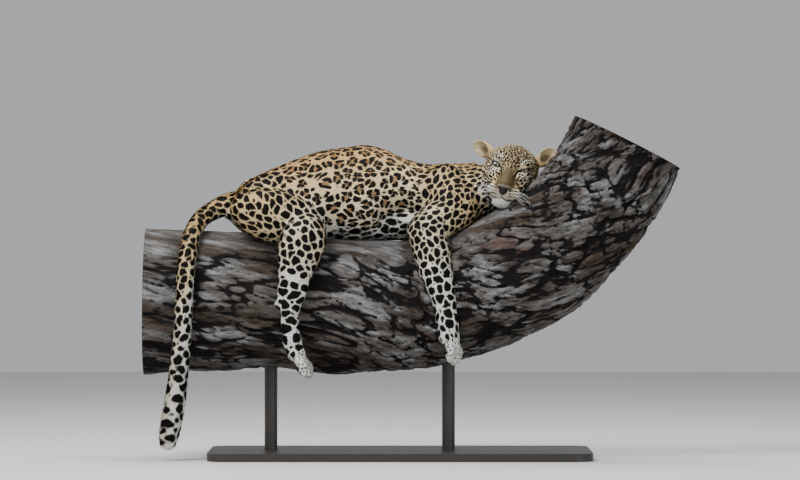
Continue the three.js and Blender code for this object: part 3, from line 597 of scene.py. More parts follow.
@dataclass(frozen=True)
class Surface:
    """Points with four-sided and three-sided faces on them."""

    points: Array
    quads: Array
    triangles: Array

    @classmethod
    def tube(cls, rings: Array, first: Array, last: Array) -> "Surface":
        """A closed tube.

        Args:
            rings: Points by ring, then by side, counted the way a right hand's fingers curl when its
                thumb points from the first ring to the last.
            first: The point that closes the first ring.
            last: The point that closes the last ring.

        Returns:
            The tube, with four-sided faces between rings and a fan at each end.
        """
        count, sides = rings.shape[:2]
        i, j = np.meshgrid(np.arange(count - 1), np.arange(sides), indexing="ij")
        a, b = i * sides + j, i * sides + (j + 1) % sides
        quads = np.stack([a, b, b + sides, a + sides], axis=-1).reshape(-1, 4)
        n, j, top = count * sides, np.arange(sides), (count - 1) * sides
        lower = np.stack([np.full(sides, n), (j + 1) % sides, j], axis=1)
        upper = np.stack([np.full(sides, n + 1), top + j, top + (j + 1) % sides], axis=1)
        return cls(np.vstack([rings.reshape(-1, 3), first, last]), quads, np.concatenate([lower, upper]))

    @classmethod
    def swept(cls, path: Array, radii: Array, sides: int, up: Triple = (0, 0, 1)) -> "Surface":
        """A round tube carried along a path, closed by its first and last points.

        Args:
            path: Points of its middle line.
            radii: Its radius at each.
            sides: How many sides it has.
            up: The direction its rings are turned by.

        Returns:
            The tube, whose rings are square to the path, at middle + r (cos a side + sin a lift).
        """
        along = unit(np.gradient(path, axis=0))
        side = unit(np.cross(up, along))
        lift = np.cross(along, side)
        a = (np.arange(sides) * 2 * np.pi / sides)[None, :, None]
        ring = np.cos(a) * side[:, None] + np.sin(a) * lift[:, None]
        rings = path[:, None] + ring * np.asarray(radii, float)[:, None, None]
        return cls.tube(rings, path[0], path[-1])

    @classmethod
    def joined(cls, parts: Sequence["Surface"]) -> "Surface":
        """Several surfaces as one."""
        starts = np.cumsum([0] + [len(s.points) for s in parts[:-1]])
        return cls(
            np.concatenate([s.points for s in parts]),
            np.concatenate([s.quads + n for s, n in zip(parts, starts)]),
            np.concatenate([s.triangles + n for s, n in zip(parts, starts)]),
        )

    def piece(self, name: str, slot: str, replaced: Sequence[str] = ()) -> bpy.types.Object:
        """The surface as a piece of the object."""
        return mesh_piece(name, self.points, [self.quads, self.triangles], replaced)


# ---- The animal's form


class Part(Enum):
    """The parts of the animal that the coat is laid out by."""

    TRUNK = 0
    HIND_RIGHT = 1
    HIND_LEFT = 2
    FORE_RIGHT = 3
    FORE_LEFT = 4
    TAIL = 5
    HEAD = 6


FORELEGS = (Part.FORE_RIGHT, Part.FORE_LEFT)
SIDES = {Part.HIND_RIGHT: -1, Part.HIND_LEFT: 1, Part.FORE_RIGHT: -1, Part.FORE_LEFT: 1}


@dataclass
class Figure:
    """The sizes of the animal, and its forms as the solids have them."""

    head_at: Triple = (340, -128, 898)
    head_yaw: float = 6
    head_pitch: float = 2
    head_roll: float = 13
    hind_lag: float = -18
    fore_lag: float = -25
    eye_radius: float = 15.5
    lid: float = 3.2
    slits: dict[int, tuple[float, float]] = field(default_factory=lambda: {-1: (14, 6.8), 1: (15.5, 4.2)})
    slit_turn: float = 22
    mouth: tuple[tuple[float, float], ...] = ((0, -98), (9, -102), (20, -103), (31, -100), (41, -95), (48, -89))
    tail: tuple[tuple[float, ...], ...] = (
        (-512, 0, 790, 36), (-545, -6, 781, 30), (-580, -22, 765, 26), (-612, -52, 742, 25),
        (-634, -98, 706, 25), (-648, -146, 652, 26), (-654, -178, 596, 26.5), (-658, -200, 530, 26),
        (-661, -208, 460, 25.5), (-664, -210, 390, 25.5), (-670, -210, 320, 26), (-678, -209, 250, 27),
        (-686, -208, 190, 28), (-697, -207, 125, 28.5), (-708, -206, 66, 26),
    )
    torso_rows: tuple[tuple[float, ...], ...] = (
        (-540, 0, 776, 30, 34), (-510, 0, 776, 52, 56), (-465, 0, 777, 83, 80), (-428, 0, 781, 102, 92),
        (-341, 0, 796, 124, 108), (-248, 0, 811, 141, 120), (-155, 4, 819, 147, 128),
        (-102, 6, 823, 148, 130), (-46, 8, 836, 121, 126), (0, 9, 840, 95, 120), (62, 10, 826, 90, 114),
        (124, 8, 817, 92, 106), (186, 4, 815, 92, 96), (232, 0, 830, 80, 82),
    )

    def head(self) -> Place:
        """The head's axes from midway between the eyes: to its right, out of the face, and to its crown."""
        yaw, pitch, roll = np.radians([self.head_yaw, self.head_pitch, self.head_roll])
        out = [-np.sin(yaw) * np.cos(pitch), -np.cos(yaw) * np.cos(pitch), np.sin(pitch)]
        level = Place.facing(self.head_at, out, (0, 0, 1))
        right, forward, up = level.axes
        crown = up * np.cos(roll) - right * np.sin(roll)
        return Place(level.at, np.array([np.cross(forward, crown), forward, crown]))

    def paws(self) -> dict[Part, tuple[Place, float]]:
        """Where each paw is, which way it points, and how wide it is."""
        rows = {
            Part.HIND_RIGHT: ((-304, -217, 304), (0.55, -0.12, -0.83), (0.72, -0.3, 0.5), 0.95),
            Part.HIND_LEFT: ((-322, 217, 300), (0.5, 0.12, -0.86), (0.75, 0.3, 0.5), 0.95),
            Part.FORE_RIGHT: ((158, -227, 352), (0.22, -0.06, -0.97), (0.86, -0.42, 0.2), 1.1),
            Part.FORE_LEFT: ((133, 219, 352), (0.24, 0.06, -0.97), (0.86, 0.42, 0.2), 1.1),
        }
        return {part: (Place.facing(at, ahead, up), wide) for part, (at, ahead, up, wide) in rows.items()}

    def torso_forms(self) -> list[Form]:
        """The ribcage and belly, with the breastbone's keel."""
        return [
            Trunk(np.array(self.torso_rows, float), 20),
            taper((-60, 6, 748), (190, 0, 760), 74, 76, 14, 0.95),
        ]

    def neck_forms(self) -> list[Form]:
        """The neck up to the back of the head."""
        return [
            taper((160, 4, 820), (262, -22, 824), 80, 74, 40),
            taper((262, -22, 824), (330, -40, 858), 74, 64, 30),
            egg((205, -6, 778), (62, 78, 72), 36),
        ]

    def hind_shift(self, s: int) -> float:
        """How far along the hind leg of a side is set; s is -1 on the right and 1 on the left."""
        return self.hind_lag if s > 0 else 0

    def fore_shift(self, s: int) -> float:
        """How far along the foreleg of a side is set."""
        return self.fore_lag if s > 0 else 0

    def hind_stations(self, s: int) -> list[list[float]]:
        """The hind leg's middle line and radii."""
        rows = [
            (-298, 176, 672, 74), (-310, 184, 628, 64), (-321, 195, 573, 51), (-329, 205, 520, 44),
            (-336, 211, 470, 30), (-336, 214, 424, 26.5), (-330, 215, 368, 27), (-316, 216, 330, 26),
        ]
        return [[x + self.hind_shift(s), s * y, z, r] for x, y, z, r in rows]

    def hind_forms(self, s: int) -> list[Form]:
        """The haunch, thigh, shank and hock of one side."""
        lag = self.hind_shift(s)
        return [
            egg((-410 + lag, s * 62, 795), (92, 62, 82), 36),
            egg((-378 + lag, s * 116, 745), (150, 60, 84), 30, (s * -12, 14, 0)),
            egg((-285 + lag, s * 158, 703), (60, 46, 56), 26, (0, 20, 0)),
            *chain(self.hind_stations(s), 14, 0.8),
            taper((-350 + lag, s * 209, 512), (-366 + lag, s * 211, 482), 22, 19, 14, 0.8),
        ]

    def fore_stations(self, s: int) -> list[list[float]]:
        """The foreleg's middle line and radii."""
        rows = [
            (84, 168, 694, 60), (98, 190, 636, 57), (110, 206, 582, 50), (124, 216, 535, 42.5),
            (135, 222, 489, 36), (143, 225, 433, 32), (149, 226, 385, 33),
        ]
        return [[x + self.fore_shift(s), s * y, z, r] for x, y, z, r in rows]

    def fore_forms(self, s: int) -> list[Form]:
        """The shoulder, upper arm, elbow and forearm of one side."""
        lag = self.fore_shift(s)
        return [
            egg((128 + lag, s * 74, 832), (58, 38, 82), 30, (0, 24, 0)),
            egg((168 + lag, s * 92, 786), (80, 54, 84), 30, (0, 30, 0)),
            taper((160 + lag, s * 112, 766), (84 + lag, s * 160, 706), 66, 58, 24, 0.8),
            *chain(self.fore_stations(s), 16, 0.86),
            taper((70 + lag, s * 172, 690), (44 + lag, s * 174, 694), 36, 22, 18, 0.8),
        ]

    def toes(self, wide: float) -> list[tuple[float, float]]:
        """How far across the paw each of its toes is, and how long."""
        return [(n * 16.5 * wide, 36 if abs(n) > 1 else 46) for n in (-1.5, -0.5, 0.5, 1.5)]

    def paw_forms(self, place: Place, wide: float) -> list[Form]:
        """A paw: its back, four toes fanned across it, and the pad under it."""
        forms = [taper((0, -34, 2), (0, 4, 2), 25, 25 * wide, 16, 0.8, (0, 0, 1))]
        for x, long in self.toes(wide):
            forms += [
                taper((x * 0.75, 2, 4), (x * 1.02, long * 0.62, 7), 14, 13, 8),
                egg((x * 1.06, long * 0.92, 0), (12.4, 18, 13.5), 6, (-24, 0, 0)),
                egg((x * 1.06, long * 0.86, -10), (9, 12, 6.5), 3),
            ]
        forms.append(egg((0, 2, -14), (25 * wide, 18, 9), 5))
        return [f.settled(place) for f in forms]

    def skull_forms(self) -> list[Form]:
        """The head's own forms in its axes: braincase, cheeks, brows, nose, muzzle, jaw and chin."""
        forms = [egg((0, -48, 17), (66, 70, 57), 20), egg((0, -96, -8), (62, 46, 60), 34)]
        for s in (-1, 1):
            forms += [
                egg((s * 50, -46, 4), (33, 50, 44), 20),
                egg((s * 45, -36, -36), (33, 46, 42), 22),
                egg((s * 34, -34, -76), (30, 40, 30), 26),
                egg((s * 38, 2, 18), (23, 15, 10), 12, (0, s * -14, 0)),
                egg((s * 36, 12, -40), (28, 26, 32), 18),
                taper((s * 42, -30, -82), (s * 14, 28, -104), 26, 19, 20),
            ]
        forms += [taper((0, 2, 6), (0, 60, -60), 25, 21, 14), egg((0, 32, -72), (42, 42, 30), 18)]
        forms += [egg((s * 25, 49, -78), (28, 29, 22), 8, (0, 0, s * -16)) for s in (-1, 1)]
        forms.append(egg((0, 42, -110), (30, 26, 20), 12))
        return forms

    def eye_at(self, s: int) -> Triple:
        """The middle of an eye in the head's axes; s is -1 on the animal's right."""
        return (s * -44, 1, -1)

    def lid_forms(self) -> list[Form]:
        """The two lids' thickness over each eye."""
        r = self.eye_radius + self.lid
        return [egg(self.eye_at(s), (r, r, r), 7) for s in (-1, 1)]

    def slit_forms(self) -> list[Form]:
        """The slit between each eye's lids, as a cut down to the eye's own depth."""
        forms = []
        for s in (-1, 1):
            x, y, z = self.eye_at(s)
            long, tall = self.slits[s]
            r = self.eye_radius
            forms.append(egg((x - s, y + r, z), (long, r * 0.8, tall), 1.2, (0, s * self.slit_turn, 0), True))
        return forms

    def pad_forms(self) -> list[Form]:
        """The bare nose pad in the head's axes."""
        return [egg((0, 74, -66), (24, 11, 9), 6), egg((0, 74, -77), (12.5, 10, 13), 8)]

    def nostril_forms(self) -> list[Form]:
        """The nostrils, as cuts."""
        forms = []
        for s in (-1, 1):
            forms.append(egg((s * 11, 84, -72), (5.4, 7, 3.8), 2, (0, s * 20, 0), True))
            forms.append(taper((s * 13, 81, -73), (s * 21, 70, -69), 2.6, 1.6, 2, cuts=True))
        return forms

    def ear_places(self) -> dict[str, Place]:
        """Each ear's axes in the head's: across it, out of its opening, and to its tip."""
        rows = {
            "right": ((80, -58, 33), (0.92, -0.08, 0.38), (0.3, 0.9, -0.35)),
            "left": ((-82, -58, 42), (-0.68, 0, 0.73), (-0.1, 0.97, 0.15)),
        }
        places = {}
        for name, (at, tip, opening) in rows.items():
            up = unit(np.array(tip, float))
            side = unit(np.cross(opening, up))
            places[name] = Place(np.array(at, float), np.array([side, np.cross(up, side), up]))
        return places

    def ear_forms(self) -> list[Form]:
        """A cup: one egg hollowed by another that opens forward."""
        return [egg((0, 0, 12), (22, 13, 36), 6), egg((0, 13, 20), (17, 17, 29), 3, cuts=True)]

    def groups(self) -> dict[Part, list[Form]]:
        """The forms of each part of the animal, as the coat is laid out by."""
        head = self.head()
        legs = {}
        for part, spot in self.paws().items():
            forms = self.fore_forms if part in FORELEGS else self.hind_forms
            legs[part] = forms(SIDES[part]) + self.paw_forms(*spot)
        return {
            Part.TRUNK: self.torso_forms() + self.neck_forms(),
            **legs,
            Part.TAIL: chain(self.tail, 12),
            Part.HEAD: [f.settled(head) for f in self.skull_forms() + self.lid_forms()],
        }

    def flesh(self) -> Flesh:
        """The whole animal, with its forms in the order of the solids."""
        head = self.head()
        forms = self.torso_forms() + self.hind_forms(-1) + self.hind_forms(1)
        forms += self.fore_forms(-1) + self.fore_forms(1) + self.neck_forms() + chain(finer(self.tail, 40), 12)
        for spot in self.paws().values():
            forms += self.paw_forms(*spot)
        forms += [f.settled(head) for f in self.skull_forms() + self.lid_forms() + self.slit_forms()]
        return Flesh(forms)


@dataclass
class Hide:
    """The one skin that stands for all the solids of flesh, inside them by the coat's depth."""

    figure: Figure
    step: float = 5.9
    depth: float = 4.0
    shallow: float = 1.6
    points: Array = field(default_factory=lambda: np.zeros((0, 3)))
    faces: Array = field(default_factory=lambda: np.zeros((0, 4), int))
    out: Array = field(default_factory=lambda: np.zeros((0, 3)))

    def depths(self, p: Array) -> Array:
        """The coat's depth at each point: less on the face and the feet, fading as bells."""
        near = bell(np.linalg.norm(p - self.figure.head().to_part((0, 20, -40)), axis=1), 105)
        for place, _ in self.figure.paws().values():
            near = np.maximum(near, bell(np.linalg.norm(p - place.at, axis=1), 75))
        return self.depth + (self.shallow - self.depth) * near

    def lattice(self) -> Lattice:
        """The lattice it is drawn on, drawn in towards the face and the feet."""
        face = tuple(self.figure.head().to_part((0, 14, -36)))
        pulls = [Pull(face, 0.62, 105)]
        pulls += [Pull(tuple(place.at), 0.42, 62) for place, _ in self.figure.paws().values()]
        return Lattice((-752, -340, 14), (466, 340, 1020), self.step, tuple(pulls))

    def grow(self) -> None:
        """Works out the skin's points, its faces and its outward directions.

        Each point is moved twice down the field's slope, to where the field is minus the coat's depth.
        """
        flesh = self.figure.flesh()
        self.points, self.faces = self.lattice().skin(lambda p: flesh.values(p) + self.depths(p))
        for _ in range(2):
            value, rise = flesh.values_and_slopes(self.points)
            off = (value + self.depths(self.points)) / np.maximum(dot(rise, rise), 0.25)
            self.points = self.points - rise * np.clip(off, -1.2, 1.2)[:, None]
        self.out = unit(rise)

    def build(self) -> bpy.types.Object:
        """The skin as one piece."""
        sides = [
            f"{name}_{side}"
            for side in ("right", "left")
            for name in ("upper_arm", "forearm", "forepaw", "thigh", "shank", "metatarsus", "hind_paw")
        ]
        nodes = ["hips", "belly", "chest", "neck", "head", *sides]
        nodes += [f"tail_{name}" for name in ("root", "upper", "middle", "lower", "tip")]
        return mesh_piece("skin", self.points, [self.faces], nodes)


# ---- How the coat lies


@dataclass(frozen=True)
class Line:
    """The middle line of a part, from where its hairs start to where they point.

    Its angles are counted from the start side.
    """

    points: Array
    start_side: Array

    @classmethod
    def through(cls, stations: Sequence[Sequence[float]], start_side: Triple, count: int = 60) -> "Line":
        """A line of evenly placed points through a few stations."""
        rows = np.array([row[:3] for row in stations], float)
        return cls(smooth_line(rows, np.linspace(0, 1, count)), np.array(start_side, float))

    def measure(self, p: Array) -> tuple[Array, Array, Array]:
        """Where each point is along and round the line.

        Args:
            p: Points in millimetres, one to a row.

        Returns:
            The share of the line's length, the angle round it, and the way that the line runs there,
            all from the nearest of its straight stretches.
        """
        a, b = self.points[:-1], self.points[1:]
        way, lengths = unit(b - a), np.linalg.norm(b - a, axis=1)
        before, turns = np.concatenate([[0], np.cumsum(lengths)[:-1]]), unit(np.gradient(self.points, axis=0))
        share, angle, heading = np.empty(len(p)), np.empty(len(p)), np.empty((len(p), 3))
        for lot in lots(len(p)):
            along = p[lot] @ way.T - dot(a, way)
            t = np.clip(along, 0, lengths)
            square = dot(p[lot], p[lot])[:, None] - 2 * p[lot] @ a.T + dot(a, a) - 2 * along * t + t * t
            best = square.argmin(axis=1)
            here = (np.arange(len(lot)), best)
            share[lot] = (before[best] + t[here]) / lengths.sum()
            bend = np.clip(t[here] / lengths[best], 0, 1)[:, None]
            heading[lot] = unit(turns[best] * (1 - bend) + turns[best + 1] * bend)
            front = unit(self.start_side - heading[lot] * dot(heading[lot], self.start_side)[:, None])
            off = p[lot] - a[best] - way[best] * t[here][:, None]
            angle[lot] = np.arctan2(dot(off, np.cross(heading[lot], front)), dot(off, front))
        return share, angle, heading


@dataclass
class Lie:
    """How much of each part every point of the skin has, and which way its hairs run."""

    figure: Figure
    soft: float = 11.0
    nose: Triple = (0, 90, -66)

    def __post_init__(self) -> None:
        """Lays each part's line from the forms' own stations."""
        f = self.figure
        spine = [
            (345, -60, 868), (262, -22, 826), (160, 2, 820), (0, 8, 836),
            (-155, 4, 815), (-300, 0, 800), (-560, 0, 776),
        ]
        self.lines = {
            Part.TRUNK: Line.through(spine, (0, 0, 1)),
            Part.TAIL: Line.through(f.tail, (-0.3, 0, 1), 80),
        }
        for part, (place, _) in f.paws().items():
            s = SIDES[part]
            if part in FORELEGS:
                lag = f.fore_shift(s)
                rows = [(170 + lag, s * 80, 850), (150 + lag, s * 118, 770), *f.fore_stations(s)[:-1]]
            else:
                lag = f.hind_shift(s)
                rows = [(-430 + lag, s * 80, 830), (-360 + lag, s * 130, 740), *f.hind_stations(s)[:-1]]
            wrist_and_tip = [[*place.to_part((0, y, 2))] for y in (-34, 62)]
            self.lines[part] = Line.through(rows + wrist_and_tip, (0, s, 0), 80)

    def settle(self, p: Array, out: Array) -> tuple[Array, Array]:
        """The share of each part at points of the skin, and the way of the hairs.

        Args:
            p: Points on the skin.
            out: Their outward directions.

        Returns:
            Shares, one column to a part, from exp(-(d - nearest d) / soft) with d the distance to each
            part's own flesh, and the parts' headings mixed by them and laid flat on the skin.
        """
        d = np.stack([Flesh(forms).values(p) for forms in self.figure.groups().values()], axis=1)
        shares = np.exp(-(d - d.min(axis=1, keepdims=True)) / self.soft)
        shares /= shares.sum(axis=1, keepdims=True)
        flow = np.zeros_like(p)
        for part, line in self.lines.items():
            live = np.flatnonzero(shares[:, part.value] > 0.02)
            flow[live] += line.measure(p[live])[2] * shares[live, part.value][:, None]
        head = self.figure.head()
        flow += unit(p - head.to_part(self.nose)) * shares[:, Part.HEAD.value][:, None]
        flow -= out * dot(flow, out)[:, None]
        return shares, unit(flow)

    def chart(self, part: Part, p: Array) -> Array:
        """A flat map of one part's skin, from 0 to 1 each way.

        It is the angle round by the length along, or on the head a disc about the face, whose radius
        is the angle from straight ahead.
        """
        if part is Part.HEAD:
            d = unit(self.figure.head().from_part(p) - np.array((0, -34, -32)))
            off = np.arccos(np.clip(d[:, 1], -1, 1)) / np.pi
            ring = np.hypot(d[:, 0], d[:, 2])[:, None]
            return 0.5 + 0.5 * off[:, None] * d[:, [0, 2]] / np.maximum(ring, 1e-6)
        share, angle, _ = self.lines[part].measure(p)
        return np.stack([angle / (2 * np.pi) + 0.5, share], axis=1)


@dataclass(frozen=True)
class Spread:
    """Points strewn over the skin, each with its place on one of the faces."""

    corners: Array
    shares: Array

    @classmethod
    def over(cls, points: Array, faces: Array, density: Array, rng: np.random.Generator) -> "Spread":
        """Strews points so that each square millimetre has as many as its density says.

        Args:
            points: The skin's points.
            faces: Its four-sided faces.
            density: How many to a square millimetre, at each of the skin's points.
            rng: The source of chance.

        Returns:
            As many points as the densities come to. Each has shares of its face's corners, (1-u)(1-v),
            u(1-v), uv and (1-u)v, with u and v from 0 to 1.
        """
        a, b, c, d = (points[faces[:, n]] for n in range(4))
        area = np.linalg.norm(np.cross(c - a, d - b), axis=1) / 2
        mean = area * density[faces].mean(axis=1)
        count = np.floor(mean + rng.random(len(faces))).astype(int)
        chosen = faces[np.repeat(np.arange(len(faces)), count)]
        u, v = rng.random((2, len(chosen)))
        return cls(chosen, np.stack([(1 - u) * (1 - v), u * (1 - v), u * v, (1 - u) * v], axis=1))

    def take(self, values: Array) -> Array:
        """A number or row at each strewn point, from those at its face's corners."""
        picked = values[self.corners]
        return np.einsum("nc,nc...->n...", self.shares, picked)

    def only(self, kept: Array) -> "Spread":
        """The strewn points that are kept."""
        return Spread(self.corners[kept], self.shares[kept])


# ---- The coat's markings


@dataclass
class Look:
    """What the coat is like at some points: one number each to a point, sizes in millimetres.

    Tone goes from tawny to white. Tan, ringed and bare are shares: of the tan tint, which on the face
    and chin also stands for painted shade, of the marks that are rosettes, and of bare skin. Spacing, size
    and stretch are the marks', and length, width, lift
    and density the hairs'.
    """

    tone: Array
    tan: Array
    spacing: Array
    size: Array
    ringed: Array
    stretch: Array
    length: Array
    width: Array
    lift: Array
    density: Array
    bare: Array


Values = dict[str, Union[Array, float]]


@dataclass
class Regions:
    """How the coat changes over the animal, from its own proportions."""

    figure: Figure
    lie: Lie

    def look(self, p: Array, shares: Array) -> Look:
        """The coat at points of the skin.

        Each part gives its own values, or nought, and they are mixed by the parts' shares.

        Args:
            p: Points on the skin.
            shares: The share of each part at each point.

        Returns:
            The coat there.
        """
        names = [entry.name for entry in fields(Look)]
        total = {name: np.zeros(len(p)) for name in names}
        for part in Part:
            live = np.flatnonzero(shares[:, part.value] > 0.02)
            values = self._of_part(part, p[live])
            for name in names:
                total[name][live] += shares[live, part.value] * values.get(name, 0.0)
        return Look(**total)

    def _of_part(self, part: Part, p: Array) -> Values:
        """One part's own values."""
        if part is Part.HEAD:
            return self._head(p)
        share, angle, _ = self.lie.lines[part].measure(p)
        drop = np.abs(angle) / np.pi
        if part is Part.TRUNK:
            return self._trunk(p, share, drop)
        if part is Part.TAIL:
            return self._tail(share, drop)
        return self._leg(part, p, share, drop)

    def _trunk(self, p: Array, share: Array, drop: Array) -> Values:
        """Rosettes on the flanks, close spots along the spine and the neck, and a pale underside."""
        d = drop + 0.05 * noise(p, 90, 3)
        flank = smooth(0.03, 0.2, d) * (1 - smooth(0.74, 0.9, d))
        barrel = smooth(0.28, 0.42, share) * (1 - smooth(0.74, 0.9, share))
        under = smooth(0.66, 0.86, d)
        neck = 1 - smooth(0.16, 0.34, share)
        rosette = flank * barrel * (1 - 0.4 * under)
        spacing = 25.5 + 11 * rosette + 4 * under - 7 * neck
        return {
            "tone": np.clip(0.08 + 0.46 * smooth(0.1, 0.6, d) + 0.44 * under, 0, 1),
            "spacing": spacing,
            "size": spacing * 0.57 * (1 - 0.14 * under),
            "ringed": smooth(0.1, 0.5, rosette),
            "stretch": 1 + 0.22 * neck + 0.08 * (1 - rosette),
            "length": 9 + 9 * under + 2 * neck,
            "width": 2.5,
            "lift": 1 + 0.5 * under,
            "density": 0.185,
        }

    def _tail(self, share: Array, drop: Array) -> Values:
        """Spots in rows that grow towards the tip, and a whiter underside."""
        late = smooth(0.55, 0.95, share)
        spacing = 25 + 9 * late
        return {
            "tone": np.clip(0.12 + 0.62 * smooth(0.1, 0.7, share) + 0.5 * smooth(0.4, 0.8, drop), 0, 1),
            "spacing": spacing,
            "size": spacing * 0.53,
            "stretch": 1.05 - 0.2 * late,
            "length": 12 + 5 * late,
            "width": 2.4,
            "lift": 1.2 + 0.4 * late,
            "density": 0.2,
        }

    def _leg(self, part: Part, p: Array, share: Array, inner: Array) -> Values:
        """Solid spots, largest on the lower leg and small on the foot, over cream that turns white."""
        fore = part in FORELEGS
        low = smooth(0.35, 0.7, share)
        place, _ = self.figure.paws()[part]
        q = place.from_part(p)
        foot = smooth(-46, -6, q[:, 1])
        whole = smooth(0.05, 0.3, share)
        wide = (23 if fore else 26) + (6 if fore else 8) * low
        spacing = wide * (1 - foot) + 12 * foot
        pads = smooth(-6, -11, q[:, 2]) * foot * smooth(-20, -12, q[:, 1])
        tone = 0.3 + 0.42 * low + 0.28 * whole + 0.36 * whole * smooth(0.45, 0.8, inner) + 0.1 * foot
        size = spacing * ((0.53 if fore else 0.55) - 0.28 * foot)
        return {
            "tone": np.clip(tone, 0, 1),
            "spacing": spacing,
            "size": size * (1 - 0.3 * smooth(0.6, 0.95, inner) * (1 - low)),
            "stretch": 1.12 - (0.02 if fore else 0.28) * smooth(0.2, 0.5, share),
            "length": 8 - 3.5 * foot,
            "width": 2.4 - 0.7 * foot,
            "lift": 0.9 - 0.3 * foot,
            "density": 0.2 + 0.25 * foot,
            "bare": np.clip(pads, 0, 1),
        }

    def _head(self, p: Array) -> Values:
        """Fine spots on the crown and cheeks, white round the eyes, a plain tan bridge and a white chin."""
        q = self.figure.head().from_part(p)
        x, y, z = np.abs(q[:, 0]), q[:, 1], q[:, 2]
        front = smooth(-40, 10, y)
        half = 9 + 15 * smooth(-8, -52, z)
        bridge = (1 - smooth(half - 2, half + 11, x)) * smooth(8, -10, z)
        bridge = bridge * smooth(-74, -64, z) * smooth(-4, 14, y)
        muzzle = smooth(24, 44, y) * smooth(-48, -62, z)
        chin = smooth(-92, -102, z) * smooth(-10, 20, y)
        eye = np.hypot(x - 44, (z + 1) * 1.15)
        pale = bell(eye - 24, 7) * (1 - smooth(14, 22, np.abs(x - 44)) * (z > -1)) * front
        pale = np.maximum(pale, bell(np.hypot(x - 36, z - 24), 11) * front)
        cheek = smooth(30, 60, x) * smooth(0, -50, z)
        jaw = smooth(-50, -84, z)
        tone = 0.24 + 0.1 * smooth(20, 50, x) + 0.32 * pale + 0.3 * cheek + 0.4 * jaw
        tone = np.maximum(tone, 0.52 * muzzle * smooth(8, 24, x))
        tone = np.maximum(tone, chin)
        # Painted shade: a share of tan dulls the white chin under the jaw.
        tan = bridge + 0.55 * muzzle * (1 - smooth(10, 34, x)) * smooth(-86, -68, z) + 0.24 * chin
        # Painted shade: the front of the face is dulled towards tan, most on the forehead, less round the eyes.
        tan = tan + front * (0.12 + 0.4 * smooth(-10, 20, z)) * (1 - 0.7 * pale)
        spacing = 8.6 + 0.6 * smooth(4, 26, z) + 3.0 * cheek + 6 * smooth(-30, -80, y)
        plain = np.maximum.reduce([bridge, muzzle, chin * smooth(-20, 10, y), smooth(19, 14, eye)])
        return {
            "tone": np.clip(tone * (1 - bridge * 0.6), 0, 1),
            "tan": np.clip(tan, 0, 1),
            "spacing": spacing,
            "size": spacing * (0.66 - 0.08 * cheek) * (1 - smooth(0.25, 0.6, plain)),
            "stretch": 1.25,
            "length": 4.2 + 6 * smooth(0, -60, y) + 4 * jaw * (1 - muzzle) + 5 * chin - 0.9 * bridge,
            "width": 1.25 + 0.9 * smooth(10, -60, y),
            "lift": 0.55 + 0.4 * smooth(0, -60, y) + 0.3 * jaw,
            "density": 0.75 - 0.5 * smooth(0, -70, y),
            "bare": np.clip(smooth(4.6, 2.4, self._from_slit(q)) + self._lips(q), 0, 1),
        }

    def _from_slit(self, q: Array) -> Array:
        """How far points of the face are outside the slit between the lids, about, in millimetres."""
        best = np.full(len(q), 99.0)
        for s in (-1, 1):
            x, y, z = self.figure.eye_at(s)
            long, tall = self.figure.slits[s]
            turn = np.radians(s * self.figure.slit_turn)
            u, w = q[:, 0] - (x - s), q[:, 2] - z
            a = u * np.cos(turn) - w * np.sin(turn)
            b = u * np.sin(turn) + w * np.cos(turn)
            k0 = np.hypot(a / long, b / tall)
            k1 = np.maximum(np.hypot(a / long**2, b / tall**2), 1e-6)
            near = np.where(q[:, 1] > y, k0 * (k0 - 1) / k1, 99)
            best = np.minimum(best, near)
        return best

    def _mouth_gap(self, q: Array) -> Array:
        """How far points are from the line of the mouth, seen from in front."""
        rows = np.array(self.figure.mouth, float)
        x = np.abs(q[:, 0])
        return np.abs(q[:, 2] - np.interp(x, rows[:, 0], rows[:, 1])) + np.maximum(x - rows[-1, 0], 0)

    def _lips(self, q: Array) -> Array:
        """The dark bare lips and the groove under the nose."""
        lips = smooth(3.2, 1.8, self._mouth_gap(q)) * smooth(0, 14, q[:, 1])
        groove = smooth(2.6, 1.2, np.abs(q[:, 0])) * smooth(-100, -97, q[:, 2]) * smooth(-84, -88, q[:, 2])
        return np.maximum(lips, groove * smooth(20, 50, q[:, 1]))

    def face_lines(self, q: Array) -> Array:
        """The face's dark lines, as millimetres inside them: from the eyes' corners, along the
        whisker rows, and beside the chin."""
        x, y, z = np.abs(q[:, 0]), q[:, 1], q[:, 2]
        best = np.full(len(q), -9.0)
        strokes = (
            ((27, -6), (20, -20), 3.4, 1.6),
            ((24, -12), (17, -32), 2.4, 1.0),
            ((58, -6), (72, -12), 3.0, 1.6),
            ((60, 6), (70, 14), 2.2, 1.2),
            ((20, -66), (44, -59), 1.5, 2.0),
            ((19, -74), (48, -69), 1.7, 2.3),
            ((19, -82), (49, -79), 1.7, 2.3),
            ((20, -89), (46, -88), 1.5, 2.1),
            ((42, -94), (60, -84), 5.0, 4.0),
            ((30, -112), (46, -102), 4.2, 3.0),
            ((56, -48), (80, -34), 2.6, 1.8),
            ((54, -64), (76, -56), 2.6, 1.8),
        )
        for (x0, z0), (x1, z1), first, last in strokes:
            way = np.array([x1 - x0, z1 - z0], float)
            t = np.clip(((x - x0) * way[0] + (z - z0) * way[1]) / (way @ way), 0, 1)
            away = np.hypot(x - x0 - t * way[0], z - z0 - t * way[1])
            best = np.maximum(best, first + (last - first) * t - away)
        return np.where(y > -30, best, -9.0)


